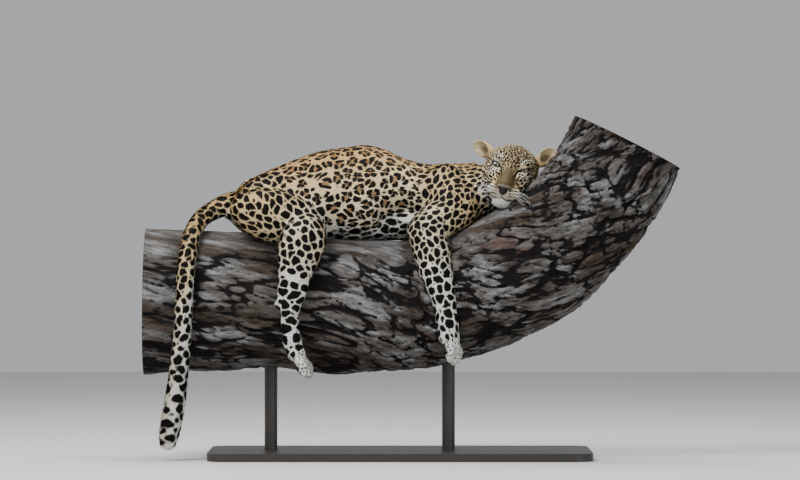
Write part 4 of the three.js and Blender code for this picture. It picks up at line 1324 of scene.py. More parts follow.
@dataclass
class Marks:
    """The rosettes and spots: one seed each, with its size, its shape and its turning.

    TRIES is how many candidates there are to the square of a spacing, LEAST the size of the smallest
    mark, and APART how near two may be, for the sum of their spacings. RING is the width of a rosette's
    ring, WHOLE that of a mark with none, and CELL the side of the cells that points are sorted into.
    """

    TRIES: ClassVar[float] = 9.0
    LEAST: ClassVar[float] = 1.6
    APART: ClassVar[float] = 0.41
    RING: ClassVar[float] = 12.0
    WHOLE: ClassVar[float] = 0.0
    CELL: ClassVar[float] = 30.0
    at: Array
    along: Array
    across: Array
    size: Array
    ring: Array
    stretch: Array
    gap: Array
    chance: Array

    @classmethod
    def sow(cls, hide: Hide, flow: Array, look: Look, rng: np.random.Generator) -> "Marks":
        """Chooses places for the marks, none nearer to another than their spacing.

        Candidates are strewn over the skin. One after another is kept, and those too near to it are
        passed over. A second sowing puts small spots into the gaps.
        """
        density = cls.TRIES / np.maximum(look.spacing, 8) ** 2
        strewn = Spread.over(hide.points, hide.faces, density, rng)
        p = strewn.take(hide.points)
        spacing, size = strewn.take(look.spacing), strewn.take(look.size)
        order = rng.permutation(len(p))
        free = size > cls.LEAST
        kept, small = [], []
        for n in order:
            if free[n]:
                kept.append(n)
                free &= dot(p - p[n], p - p[n]) > ((spacing + spacing[n]) * cls.APART) ** 2
        kept = cls._evened(p, np.array(kept))
        room = np.full(len(p), 999.0)
        for n in kept:
            room = np.minimum(room, np.sqrt(dot(p - p[n], p - p[n])) - size[n] * 0.86)
        spare = (room > spacing * 0.2) & (size > cls.LEAST)
        for n in order:
            if spare[n]:
                small.append(n)
                spare &= dot(p - p[n], p - p[n]) > (spacing[n] * 0.6) ** 2
        chosen = np.concatenate([kept, np.array(small, int)])
        filler = np.arange(len(chosen)) >= len(kept)
        picked = strewn.only(chosen)
        out, along = unit(picked.take(hide.out)), unit(picked.take(flow))
        turn = rng.normal(0, 0.3, len(chosen))[:, None]
        along = unit(along * np.cos(turn) + np.cross(out, along) * np.sin(turn))
        full = size[chosen]
        sizes = np.where(filler, np.minimum(full * 0.7, room[chosen]), full * rng.uniform(0.8, 1.14, len(full)))
        return cls(
            at=p[chosen],
            along=along,
            across=np.cross(out, along),
            size=np.clip(sizes, 1.2, None),
            ring=np.where(filler | (rng.random(len(chosen)) > picked.take(look.ringed)), cls.WHOLE, cls.RING),
            stretch=picked.take(look.stretch) * rng.uniform(0.92, 1.14, len(chosen)),
            gap=np.minimum(0.17 * spacing[chosen], 4.6),
            chance=rng.random((len(chosen), 4)),
        )

    @staticmethod
    def _evened(p: Array, kept: Array, rounds: int = 4) -> Array:
        """Seeds moved to the candidate nearest to the middle of all those they are nearest to."""
        for _ in range(rounds):
            best, owner = np.full(len(p), np.inf), np.zeros(len(p), int)
            for k, n in enumerate(kept):
                off = p - p[n]
                far = dot(off, off)
                nearer = far < best
                best[nearer], owner[nearer] = far[nearer], k
            count = np.bincount(owner, minlength=len(kept))
            total = np.stack([np.bincount(owner, p[:, c], len(kept)) for c in range(3)], axis=1)
            off = p - (total / count[:, None])[owner]
            order = np.lexsort((dot(off, off), owner))
            kept = order[np.searchsorted(owner[order], np.arange(len(kept)))]
        return kept

    def inside(self, p: Array) -> tuple[Array, Array]:
        """How far inside a mark each point is, and how far inside the heart of a rosette.

        Args:
            p: Points on the skin, in millimetres.

        Returns:
            Millimetres inside the nearest mark, below nought outside it, and the same for hearts.

        Each seed's own polar coordinates r and a come from its two directions, and its edge is
        R(a) = R (1 + .17 sin(2a + f) + .09 sin(3a + g)). The two largest of R(a) - r, v1 and v2, give
        e = min(v1, (v1 - v2) / 2 - half a gap), so that neighbours stay apart by a pale line. A spot is
        e. A rosette is T/2 g(a) - |e - T/2|, and g(a) parts its ring where cos(k a + h) nears 1.
        """
        count = len(p)
        first, second, thick = np.full(count, -60.0), np.full(count, -60.0), np.zeros(count)
        parting, gap = np.zeros(count), np.full(count, 3.0)
        keys = cell_keys(np.floor(p / self.CELL).astype(np.int64))
        order = np.argsort(keys, kind="stable")
        ordered = keys[order]
        base = np.floor(self.at / self.CELL).astype(np.int64)
        around = np.array(list(np.ndindex(3, 3, 3))) - 1
        for n in range(len(self.at)):
            wanted = cell_keys(base[n] + around)
            starts, ends = np.searchsorted(ordered, wanted), np.searchsorted(ordered, wanted, side="right")
            near = np.concatenate([order[a:b] for a, b in zip(starts, ends)])
            off = p[near] - self.at[n]
            close = dot(off, off) < (self.size[n] * 1.7 + 6) ** 2
            near, off = near[close], off[close]
            u, v = off @ self.along[n] / self.stretch[n], off @ self.across[n] * self.stretch[n]
            r, a = np.hypot(u, v), np.arctan2(v, u)
            f, g, h, k = self.chance[n] * (6.28, 6.28, 6.28, 3)
            inside = self.size[n] * (1 + 0.17 * np.sin(2 * a + f) + 0.09 * np.sin(3 * a + g)) - r
            owned = inside > first[near]
            second[near] = np.where(owned, first[near], np.maximum(second[near], inside))
            mine = near[owned]
            first[mine] = inside[owned]
            gap[mine], thick[mine] = self.gap[n], self.ring[n]
            parting[mine] = smooth(0.82, 0.97, np.cos((2 + int(k)) * a[owned] + h))
        edge = np.minimum(first, (first - second) / 2 - gap / 2)
        ring = thick / 2 * (1 - 1.1 * parting) - np.abs(edge - thick / 2)
        ringed = thick > 3
        return np.where(ringed, ring, edge), np.where(ringed, edge - thick * 0.8, -6.0)


# ---- Finishes


def colour(red: int, green: int, blue: int) -> tuple[float, float, float, float]:
    """A colour seen on a screen, 0 to 255 each, as the light it stands for.

    That is v / 12.92 where it is dark, and ((v + .055) / 1.055)^2.4 from there on.
    """
    v = np.array([red, green, blue]) / 255
    light = np.where(v <= 0.04045, v / 12.92, ((v + 0.055) / 1.055) ** 2.4)
    return (*light.tolist(), 1.0)


Socket = bpy.types.NodeSocket


class Nodes:
    """A tree of shader nodes, added and joined by short calls."""

    def __init__(self, tree: bpy.types.NodeTree) -> None:
        """Works on one tree."""
        self.tree = tree

    def add(self, kind: str, **settings: object) -> bpy.types.Node:
        """A new node with some of its own settings."""
        node = self.tree.nodes.new(kind)
        for name, value in settings.items():
            setattr(node, name, value)
        return node

    def give(self, socket: Socket, value: object) -> None:
        """Links a socket to another one, or sets its plain value."""
        if isinstance(value, bpy.types.NodeSocket):
            self.tree.links.new(value, socket)
        else:
            socket.default_value = value

    def number(self, name: str) -> Socket:
        """A number that the mesh carries at its points."""
        return self.add("ShaderNodeAttribute", attribute_name=name).outputs["Fac"]

    def place(self) -> Socket:
        """Where a point is on the object, in metres."""
        return self.add("ShaderNodeTexCoord").outputs["Object"]

    def maths(self, operation: str, a: object, b: object = 0.0) -> Socket:
        """One sum with two numbers."""
        node = self.add("ShaderNodeMath", operation=operation)
        self.give(node.inputs[0], a)
        self.give(node.inputs[1], b)
        return node.outputs[0]

    def step(self, value: object, low: float, high: float, bottom: float = 0.0, top: float = 1.0) -> Socket:
        """A smooth step from bottom to top as a value goes from low to high."""
        node = self.add("ShaderNodeMapRange", interpolation_type="SMOOTHSTEP")
        for socket, v in zip(node.inputs, (value, low, high, bottom, top)):
            self.give(socket, v)
        return node.outputs[0]

    def scaled(self, tint: object, amount: object) -> Socket:
        """A colour made lighter or darker by a number."""
        node = self.add("ShaderNodeVectorMath", operation="SCALE")
        self.give(node.inputs[0], tint)
        self.give(node.inputs["Scale"], amount)
        return node.outputs[0]

    def mix(self, share: object, a: object, b: object) -> Socket:
        """Two colours mixed by a share."""
        node = self.add("ShaderNodeMix", data_type="RGBA")
        self.give(node.inputs[0], share)
        self.give(node.inputs[6], a)
        self.give(node.inputs[7], b)
        return node.outputs[2]

    def ramp(self, value: object, stops: Sequence[tuple[float, tuple[float, ...]]]) -> Socket:
        """A colour from a row of stops."""
        node = self.add("ShaderNodeValToRGB")
        self.give(node.inputs[0], value)
        elements = node.color_ramp.elements
        while len(elements) < len(stops):
            elements.new(0.5)
        for element, (at, tint) in zip(elements, stops):
            element.position, element.color = at, tint
        return node.outputs[0]

    def noise(
        self, scale: object, detail: float = 2.0, stretch: Triple = (1, 1, 1), at: object = None
    ) -> Socket:
        """Noise over the object's own place, from 0 to 1."""
        mapping = self.add("ShaderNodeMapping")
        mapping.inputs["Scale"].default_value = stretch
        self.give(mapping.inputs["Vector"], self.place() if at is None else at)
        node = self.add("ShaderNodeTexNoise")
        self.give(node.inputs["Vector"], mapping.outputs[0])
        self.give(node.inputs["Scale"], scale)
        node.inputs["Detail"].default_value = detail
        return node.outputs["Fac"]

    def bump(self, height: object, distance: float, strength: float = 1.0) -> Socket:
        """A normal from a height."""
        node = self.add("ShaderNodeBump")
        node.inputs["Distance"].default_value = distance
        node.inputs["Strength"].default_value = strength
        self.give(node.inputs["Height"], height)
        return node.outputs["Normal"]

    def finish(self, inputs: dict[str, object]) -> None:
        """Gives the Principled shader what is named."""
        shader = self.tree.nodes["Principled BSDF"]
        for name, value in inputs.items():
            self.give(shader.inputs[name], value)


def new_material(name: str) -> tuple[bpy.types.Material, Nodes]:
    """A material with an empty Principled shader, and its nodes."""
    material = bpy.data.materials.new(name)
    material.use_nodes = True
    return material, Nodes(material.node_tree)


class SharedGroup(Enum):
    """Effects that more than one material uses, each built once as a node group."""

    MOTTLE = "mottle"
    GRAIN = "fine_grain"

    def placed(self, nodes: Nodes, **values: object) -> Socket:
        """Puts the group into a material with its own values.

        Args:
            nodes: The material's nodes.
            **values: What each of the group's named inputs is given.

        Returns:
            The group's one output.
        """
        group = bpy.data.node_groups.get(self.value) or self._built()
        node = nodes.add("ShaderNodeGroup", node_tree=group)
        for name, value in values.items():
            nodes.give(node.inputs[name], value)
        return node.outputs[0]

    def _built(self) -> bpy.types.NodeTree:
        """The group itself: mottle lightens and darkens a colour in patches, fine grain is a height."""
        group = bpy.data.node_groups.new(self.value, "ShaderNodeTree")
        inner = Nodes(group)
        kinds = {"Colour": "NodeSocketColor", "Scale": "NodeSocketFloat", "Amount": "NodeSocketFloat"}
        for name, kind in kinds.items():
            group.interface.new_socket(name, in_out="INPUT", socket_type=kind)
        kind = "NodeSocketColor" if self is SharedGroup.MOTTLE else "NodeSocketFloat"
        group.interface.new_socket("Result", in_out="OUTPUT", socket_type=kind)
        given, result = inner.add("NodeGroupInput"), inner.add("NodeGroupOutput")
        lumps = inner.noise(given.outputs["Scale"], 4.0)
        if self is SharedGroup.MOTTLE:
            swing = inner.maths("MULTIPLY", inner.maths("SUBTRACT", lumps, 0.5), given.outputs["Amount"])
            inner.give(result.inputs[0], inner.scaled(given.outputs["Colour"], inner.maths("ADD", swing, 1.0)))
        else:
            inner.give(result.inputs[0], inner.maths("MULTIPLY", lumps, given.outputs["Amount"]))
        return group


@dataclass(frozen=True)
class CoatFinish:
    """Short fur: tawny above, through cream to white below, with near-black marks and brown hearts."""

    tawny: Tint = (194, 152, 92)
    cream: Tint = (220, 200, 156)
    white: Tint = (228, 230, 224)
    heart: Tint = (132, 93, 50)
    dark: Tint = (9, 6, 3)
    # The tan of the bridge, the muzzle and the ears, also used as painted shade over the face and chin.
    tan: Tint = (84, 71, 48)
    bare: Tint = (30, 24, 23)

    def material(self, name: str) -> bpy.types.Material:
        """The material, which reads the numbers that the skin and the tufts carry."""
        material, nodes = new_material(name)
        stops = [(0.0, colour(*self.tawny)), (0.45, colour(*self.cream)), (0.9, colour(*self.white))]
        ground = nodes.ramp(nodes.number("tone"), stops)
        ground = SharedGroup.MOTTLE.placed(nodes, Colour=ground, Scale=34.0, Amount=0.22)
        ground = nodes.mix(nodes.step(nodes.number("heart"), -1.0, 1.5, 0, 0.85), ground, colour(*self.heart))
        ground = nodes.mix(nodes.number("tan"), ground, colour(*self.tan))
        ground = nodes.mix(nodes.step(nodes.number("mark"), -0.7, 0.7), ground, colour(*self.dark))
        # The shade number darkens the colour: each tuft's own lightness, and painted shade at the tufts' roots
        # and on the skin beneath them.
        lit = nodes.scaled(ground, nodes.number("shade"))
        height = SharedGroup.GRAIN.placed(nodes, Scale=520.0, Amount=1.0)
        nodes.finish({
            "Base Color": nodes.mix(nodes.number("bare"), lit, colour(*self.bare)),
            "Roughness": nodes.step(nodes.number("bare"), 0.0, 1.0, 0.62, 0.42),
            "Specular IOR Level": 0.16,
            "Normal": nodes.bump(height, 0.0006, 0.6),
        })
        return material


@dataclass(frozen=True)
class EyeFinish:
    """A wet eye: a round pupil, a grey-green iris with fine spokes, and a dark rim."""

    pupil: float = 16
    iris: float = 40

    def material(self) -> bpy.types.Material:
        """The material, by the angle from the eye's axis that the mesh carries."""
        material, nodes = new_material("eye_wet")
        off = nodes.number("off_axis")
        spokes = nodes.maths("SINE", nodes.maths("MULTIPLY", nodes.number("round_axis"), 46.0))
        fleck = nodes.maths("ADD", nodes.maths("MULTIPLY", spokes, 0.1), nodes.noise(900.0, 3.0))
        tint = nodes.ramp(
            nodes.maths("DIVIDE", off, 90.0),
            [
                (0.0, colour(8, 8, 8)),
                (self.pupil / 90, colour(10, 10, 9)),
                ((self.pupil + 2) / 90, colour(112, 118, 74)),
                (self.iris * 0.72 / 90, colour(122, 132, 100)),
                ((self.iris - 3) / 90, colour(70, 72, 50)),
                (self.iris / 90, colour(22, 17, 14)),
                (1.0, colour(60, 44, 36)),
            ],
        )
        lit = nodes.scaled(tint, nodes.step(fleck, 0.2, 0.9, 0.75, 1.2))
        nodes.finish({"Base Color": lit, "Roughness": 0.3, "Coat Weight": 1.0, "Coat Roughness": 0.04})
        return material


@dataclass(frozen=True)
class NoseFinish:
    """Bare moist skin: dark, with a top painted paler as light from above, in fine cobbles."""

    dark: Tint = (17, 14, 14)
    # The paler top is painted light from above.
    pale: Tint = (78, 69, 58)

    def material(self) -> bpy.types.Material:
        """The material, with painted light: paler where the mesh says top."""
        material, nodes = new_material("nose_leather")
        tint = nodes.mix(nodes.number("top"), colour(*self.dark), colour(*self.pale))
        tint = SharedGroup.MOTTLE.placed(nodes, Colour=tint, Scale=160.0, Amount=0.5)
        cobbles = nodes.add("ShaderNodeTexVoronoi")
        nodes.give(cobbles.inputs["Vector"], nodes.place())
        nodes.give(cobbles.inputs["Scale"], 900.0)
        normal = nodes.bump(cobbles.outputs["Distance"], 0.0004, 0.7)
        nodes.finish({"Base Color": tint, "Roughness": 0.55, "Specular IOR Level": 0.3, "Normal": normal})
        return material


@dataclass(frozen=True)
class PlainFinish:
    """A finish of one tint in patches with a fine grain: hair, horn, lips or satin paint."""

    name: str
    tint: Tint
    roughness: float
    patch: float = 60.0
    swing: float = 0.3
    grain: float = 700.0
    relief: float = 0.0002

    def material(self) -> bpy.types.Material:
        """The material."""
        material, nodes = new_material(self.name)
        tint = SharedGroup.MOTTLE.placed(nodes, Colour=colour(*self.tint), Scale=self.patch, Amount=self.swing)
        height = SharedGroup.GRAIN.placed(nodes, Scale=self.grain, Amount=1.0)
        normal = nodes.bump(height, self.relief, 0.6)
        nodes.finish({"Base Color": tint, "Roughness": self.roughness, "Normal": normal})
        return material


@dataclass(frozen=True)
class BarkFinish:
    """Old bark: grey plates with a blue cast, brown patches, rusty ones where it has flaked, and painted shade
    in the furrows.
    """

    plate: Tint = (92, 88, 84)
    pale: Tint = (138, 140, 142)
    brown: Tint = (60, 50, 41)
    # Near black: the painted shade in the furrows.
    furrow: Tint = (16, 13, 12)
    rust: Tint = (84, 55, 47)

    def material(self) -> bpy.types.Material:
        """The material, darkened as painted shade by how deep in a furrow the mesh says each point is."""
        material, nodes = new_material("bark_old")
        deep = nodes.number("deep")
        straight = nodes.add("ShaderNodeAttribute", attribute_name="unbent").outputs["Vector"]
        along = (0.45, 1.0, 1.0)
        patches = nodes.step(nodes.noise(9.0, 5.0, along, straight), 0.36, 0.6)
        base = nodes.mix(patches, colour(*self.brown), colour(*self.plate))
        light = nodes.step(nodes.noise(18.0, 9.0, (0.4, 1.0, 1.0), straight), 0.46, 0.66, 0, 0.7)
        base = nodes.mix(light, base, colour(*self.pale))
        rust = nodes.step(nodes.noise(9.0, 6.0, (0.5, 1.0, 1.0), straight), 0.58, 0.7, 0, 0.7)
        base = nodes.mix(rust, base, colour(*self.rust))
        base = SharedGroup.MOTTLE.placed(nodes, Colour=base, Scale=120.0, Amount=0.8)
        streaks = nodes.step(nodes.noise(90.0, 8.0, (0.3, 1.0, 1.0), straight), 0.36, 0.64, 0.6, 1.25)
        ragged = nodes.step(nodes.noise(70.0, 6.0, along, straight), 0.3, 0.7, -0.14, 0.14)
        # Painted shade: the deeper a furrow, the nearer to black, with ragged edges.
        cracked = nodes.step(nodes.maths("ADD", deep, ragged), 0.24, 0.52)
        tint = nodes.mix(cracked, nodes.scaled(base, streaks), colour(*self.furrow))
        fibres = nodes.noise(90.0, 6.0, (0.36, 1.0, 1.0), straight)
        crumbs = nodes.noise(260.0, 5.0, (0.5, 1.0, 1.0), straight)
        normal = nodes.bump(nodes.maths("ADD", fibres, crumbs), 0.012, 1.0)
        nodes.finish({"Base Color": tint, "Roughness": 0.88, "Specular IOR Level": 0.2, "Normal": normal})
        return material


@dataclass(frozen=True)
class SawnFinish:
    """Sawn wood: rings about the pith, darker towards the middle."""

    sap: Tint = (190, 160, 120)
    heartwood: Tint = (134, 92, 60)

    def material(self) -> bpy.types.Material:
        """The material, by how far from the pith the mesh says each point is."""
        material, nodes = new_material("limb_sawn")
        off = nodes.number("from_pith")
        wander = nodes.maths("MULTIPLY", nodes.noise(8.0, 3.0), 6.0)
        wavy = nodes.maths("ADD", nodes.maths("MULTIPLY", off, 60.0), wander)
        lines = nodes.step(nodes.maths("SINE", nodes.maths("MULTIPLY", wavy, 6.283)), -0.2, 1.0, 1.0, 0.72)
        base = nodes.mix(nodes.step(off, 0.45, 0.75), colour(*self.heartwood), colour(*self.sap))
        base = SharedGroup.MOTTLE.placed(nodes, Colour=base, Scale=40.0, Amount=0.4)
        tint = nodes.scaled(base, lines)
        nodes.finish({"Base Color": tint, "Roughness": 0.8, "Normal": nodes.bump(lines, 0.001, 0.5)})
        return material


# ---- The coat


@dataclass
class Tufts:
    """Thin leaves of hair, each a kite bent at its middle: root, right, tip, left."""

    root: Array
    way: Array
    out: Array
    length: Array
    width: Array
    lift: Array
    numbers: dict[str, Array]

    def corners(self) -> Array:
        """The four corners of each leaf.

        The root is just under the skin. The sides are at 0.42 of the length, half the width out and
        lift (0.5 + 0.09 length) up; the tip is at the full length, lift (0.8 + 0.17 length) up.
        """
        across = np.cross(self.way, self.out)
        run, half = self.length[:, None], self.width[:, None] / 2
        up = self.out * self.lift[:, None]
        middle = self.root + self.way * run * 0.42 + up * (0.5 + 0.09 * run)
        tip = self.root + self.way * run + up * (0.8 + 0.17 * run)
        root = self.root - self.out * 0.4
        return np.stack([root, middle + across * half, tip, middle - across * half], axis=1)

    def only(self, kept: Array) -> "Tufts":
        """The leaves that are kept."""
        numbers = {name: values[kept] for name, values in self.numbers.items()}
        rows = (self.root, self.way, self.out, self.length, self.width, self.lift)
        return Tufts(*(v[kept] for v in rows), numbers)

    def piece(self, name: str, chart: Array, material: bpy.types.Material) -> bpy.types.Object:
        """The leaves as one piece.

        Args:
            name: Its name.
            chart: Each root's place on the flat map of the skin, from 0 to 1 each way.
            material: The coat's material.

        Returns:
            The piece. Each leaf has a patch of the map 0.003 across, and takes the skin's own normal.
        """
        count = len(self.root)
        faces = np.arange(count * 4).reshape(-1, 4)
        piece = dress(mesh_piece(name, self.corners().reshape(-1, 3), [faces]), material)
        spots = np.clip(chart, 0, 1) * 0.994 + 0.0015
        patch = np.array([(0, -0.0015), (0.0015, 0), (0, 0.0015), (-0.0015, 0)])
        give_map(piece, spots[:, None] + patch[None])
        spread = {name: np.broadcast_to(v.reshape(count, -1), (count, 4)) for name, v in self.numbers.items()}
        # Painted shade along each leaf: darker at its root, in the coat's own shade, and lighter at its tip.
        spread["shade"] = spread["shade"] * np.array([0.72, 0.98, 1.14, 0.98])
        give_numbers(piece, **{name: values.ravel() for name, values in spread.items()})
        leaning = unit(self.out * 0.92 + self.way * 0.25)
        piece.data.normals_split_custom_set_from_vertices(np.repeat(leaning, 4, axis=0))
        return piece


@dataclass
class Coat:
    """The fur: one skin with its markings, and tufts all over it that carry the same markings."""

    figure: Figure
    hide: Hide
    lie: Lie
    material: bpy.types.Material

    def __post_init__(self) -> None:
        """Works out how the coat lies and what it is like at each of the skin's points."""
        self.rng = np.random.default_rng(SEED)
        self.regions = Regions(self.figure, self.lie)
        self.shares, self.flow = self.lie.settle(self.hide.points, self.hide.out)
        self.look = self.regions.look(self.hide.points, self.shares)
        self.marks = Marks.sow(self.hide, self.flow, self.look, self.rng)
        LOG.info("markings: %d", len(self.marks.at))

    def painted(self, p: Array) -> tuple[Array, Array]:
        """How far inside a marking points of the skin are, with roughened edges, and inside a heart."""
        mark, heart = self.marks.inside(p)
        rough = 0.8 * noise(p, 5, 11) + 0.6 * noise(p, 2.4, 12)
        q = self.figure.head().from_part(p)
        near = dot(q, q) < 150.0**2
        mark[near] = np.maximum(mark[near], self.regions.face_lines(q[near]))
        return mark + rough, heart + rough

    def build_skin(self) -> bpy.types.Object:
        """The skin with its markings and its map, in which each part's faces have a tile of their own."""
        piece = dress(self.hide.build(), self.material)
        mark, heart = self.painted(self.hide.points)
        own = {name: getattr(self.look, name) for name in ("tone", "tan", "bare")}
        # The skin under the hair carries painted shade: its shade number is lower than the tufts'.
        give_numbers(piece, **own, mark=mark, heart=heart, shade=np.full(len(mark), 0.8))
        part = self.shares[self.hide.faces].sum(axis=1).argmax(axis=1)
        uv = np.empty((*self.hide.faces.shape, 2))
        for member in Part:
            mine = np.flatnonzero(part == member.value)
            uv[mine] = self._tile(member, self.hide.faces[mine])
        give_map(piece, uv)
        return piece

    def _tile(self, part: Part, faces: Array) -> Array:
        """One part's faces on the skin's map: its chart, scaled into its own tile.

        A face that crosses the chart's edge is kept whole, on the side of its first corner.
        """
        tiles = {
            Part.TRUNK: (0.0, 0.0, 0.5, 0.6),
            Part.HEAD: (0.5, 0.0, 0.5, 0.5),
            Part.TAIL: (0.0, 0.6, 0.16, 0.4),
            Part.HIND_RIGHT: (0.16, 0.6, 0.17, 0.4),
            Part.HIND_LEFT: (0.33, 0.6, 0.17, 0.4),
            Part.FORE_RIGHT: (0.5, 0.5, 0.25, 0.5),
            Part.FORE_LEFT: (0.75, 0.5, 0.25, 0.5),
        }
        low_u, low_v, wide, high = tiles[part]
        chart = self.lie.chart(part, self.hide.points[faces].reshape(-1, 3)).reshape(*faces.shape, 2)
        if part is not Part.HEAD:
            u = chart[..., 0]
            chart[..., 0] = u - np.round(u - u[:, :1])
        inner = np.clip(chart, -0.02, 1.02) * 0.94 + 0.03
        return np.stack([low_u + inner[..., 0] * wide, low_v + inner[..., 1] * high], axis=-1)

    def build_tufts(self, buried: Callable[[Array], Array]) -> list[bpy.types.Object]:
        """The tufts, in one piece for each part and side.

        Args:
            buried: Says which points are inside the limb, where no hair is seen.

        Returns:
            The pieces.
        """
        strewn = Spread.over(self.hide.points, self.hide.faces, self.look.density, self.rng)
        p = strewn.take(self.hide.points)
        strewn = strewn.only(~buried(p) & (strewn.take(self.look.bare) < 0.6))
        p, out = strewn.take(self.hide.points), unit(strewn.take(self.hide.out))
        take = {entry.name: strewn.take(getattr(self.look, entry.name)) for entry in fields(Look)}
        count = len(p)
        chance = self.rng.random((4, count))
        way = strewn.take(self.flow)
        drift = 0.22 * noise(p, 26, 5) + 0.16 * noise(p, 9, 6) + self.rng.normal(0, 0.13, count)
        way = unit(way - out * dot(way, out)[:, None])
        way = way * np.cos(drift)[:, None] + np.cross(out, way) * np.sin(drift)[:, None]
        shade = 0.84 + 0.3 * chance[0] + 0.07 * noise(p, 17, 7)
        length = take["length"] * (0.7 + 0.6 * chance[1])
        spots = [self.painted(p + way * (length * share)[:, None]) for share in (0.15, 0.5, 0.85)]
        own = self.rng.normal(0, 0.45, count)
        mark, heart = (np.stack([spots[n][k] for n in (0, 1, 2, 1)], axis=1) for k in (0, 1))
        tufts = Tufts(
            root=p,
            way=way,
            out=out,
            length=length,
            width=take["width"] * (0.75 + 0.5 * chance[2]),
            lift=take["lift"] * (0.6 + 0.6 * chance[3]),
            numbers={
                "tone": take["tone"] + self.rng.normal(0, 0.05, count),
                "tan": take["tan"],
                "bare": np.zeros(count),
                "mark": mark + own[:, None],
                "heart": heart,
                "shade": shade,
            },
        )
        part = strewn.take(self.shares).argmax(axis=1)
        left = np.where(part == Part.HEAD.value, self.figure.head().from_part(p)[:, 0] < 0, p[:, 1] > 0)
        pieces = []
        for member in Part:
            split = member in (Part.TRUNK, Part.HEAD)
            for name, side in (("_right", ~left), ("_left", left)) if split else (("", left | ~left),):
                kept = np.flatnonzero((part == member.value) & side)
                chart = self.lie.chart(member, p[kept])
                pieces.append(tufts.only(kept).piece(f"coat_{member.name.lower()}{name}", chart, self.material))
        return pieces


# ---- The head's own pieces


@dataclass
class Eyes:
    """The two eyes, with the dark rims of their lids."""

    figure: Figure
    rings: int = 48
    sides: int = 64
    bulge: float = 0.7
    rim: float = 1.5

    def build(self, wet: bpy.types.Material, skin: bpy.types.Material) -> None:
        """Both eyes and both rims.

        An eye is a ball whose radius grows by the bulge over the cornea, as a bell of 20 degrees.
        """
        head = self.figure.head()
        for s, side in ((-1, "right"), (1, "left")):
            middle = np.array(self.figure.eye_at(s))
            gaze = Place.facing(middle, unit(np.array((s * -0.06, 1, -0.1))), (0, 0, 1))
            off = np.repeat(np.linspace(0, np.pi, self.rings + 2)[1:-1], self.sides)
            turn = np.tile(np.arange(self.sides) * 2 * np.pi / self.sides, self.rings)
            r = self.figure.eye_radius + self.bulge * bell(np.degrees(off), 20)
            ways = np.stack([np.sin(off) * np.sin(turn), np.cos(off), np.sin(off) * np.cos(turn)], axis=1)
            front = np.array([0, self.figure.eye_radius + self.bulge, 0])
            rings = gaze.to_part(ways * r[:, None]).reshape(self.rings, self.sides, 3)
            ends = gaze.to_part(np.stack([front, [0, -self.figure.eye_radius, 0]]))
            surface = Surface.tube(head.to_part(rings)[:, ::-1], *head.to_part(ends))
            eye = dress(surface.piece(f"eyeball_{side}", "eye", [f"eye_{side}"]), wet)
            off_all = np.degrees(np.concatenate([off, [0, np.pi]]))
            round_all = np.concatenate([turn[::-1], [0, 0]])
            give_numbers(eye, off_axis=off_all, round_axis=round_all)
            dress(self._rim(s).piece(f"lid_rim_{side}", "nose"), skin)

    def _rim(self, s: int) -> Surface:
        """The lids' edge: a thin tube round the slit, at the depth of the lid's middle.

        Its path is the slit's ellipse, turned, at y + sqrt(R^2 - x^2 - z^2) from the eye's middle.
        """
        x, y, z = self.figure.eye_at(s)
        long, tall = self.figure.slits[s]
        turn = np.radians(s * self.figure.slit_turn)
        a = np.linspace(0, 2 * np.pi, 61)
        u, v = (long + 0.4) * np.cos(a), (tall + 0.4) * np.sin(a)
        px, pz = u * np.cos(turn) + v * np.sin(turn) - s, -u * np.sin(turn) + v * np.cos(turn)
        radius = self.figure.eye_radius + self.figure.lid * 0.42
        path = np.stack([x + px, y + np.sqrt(np.maximum(radius**2 - px**2 - pz**2, 1)), z + pz], axis=1)
        thick = self.rim * (0.9 + 0.5 * np.maximum(np.sin(a), 0))
        return Surface.swept(self.figure.head().to_part(path), thick, 8, tuple(self.figure.head().axes[1]))


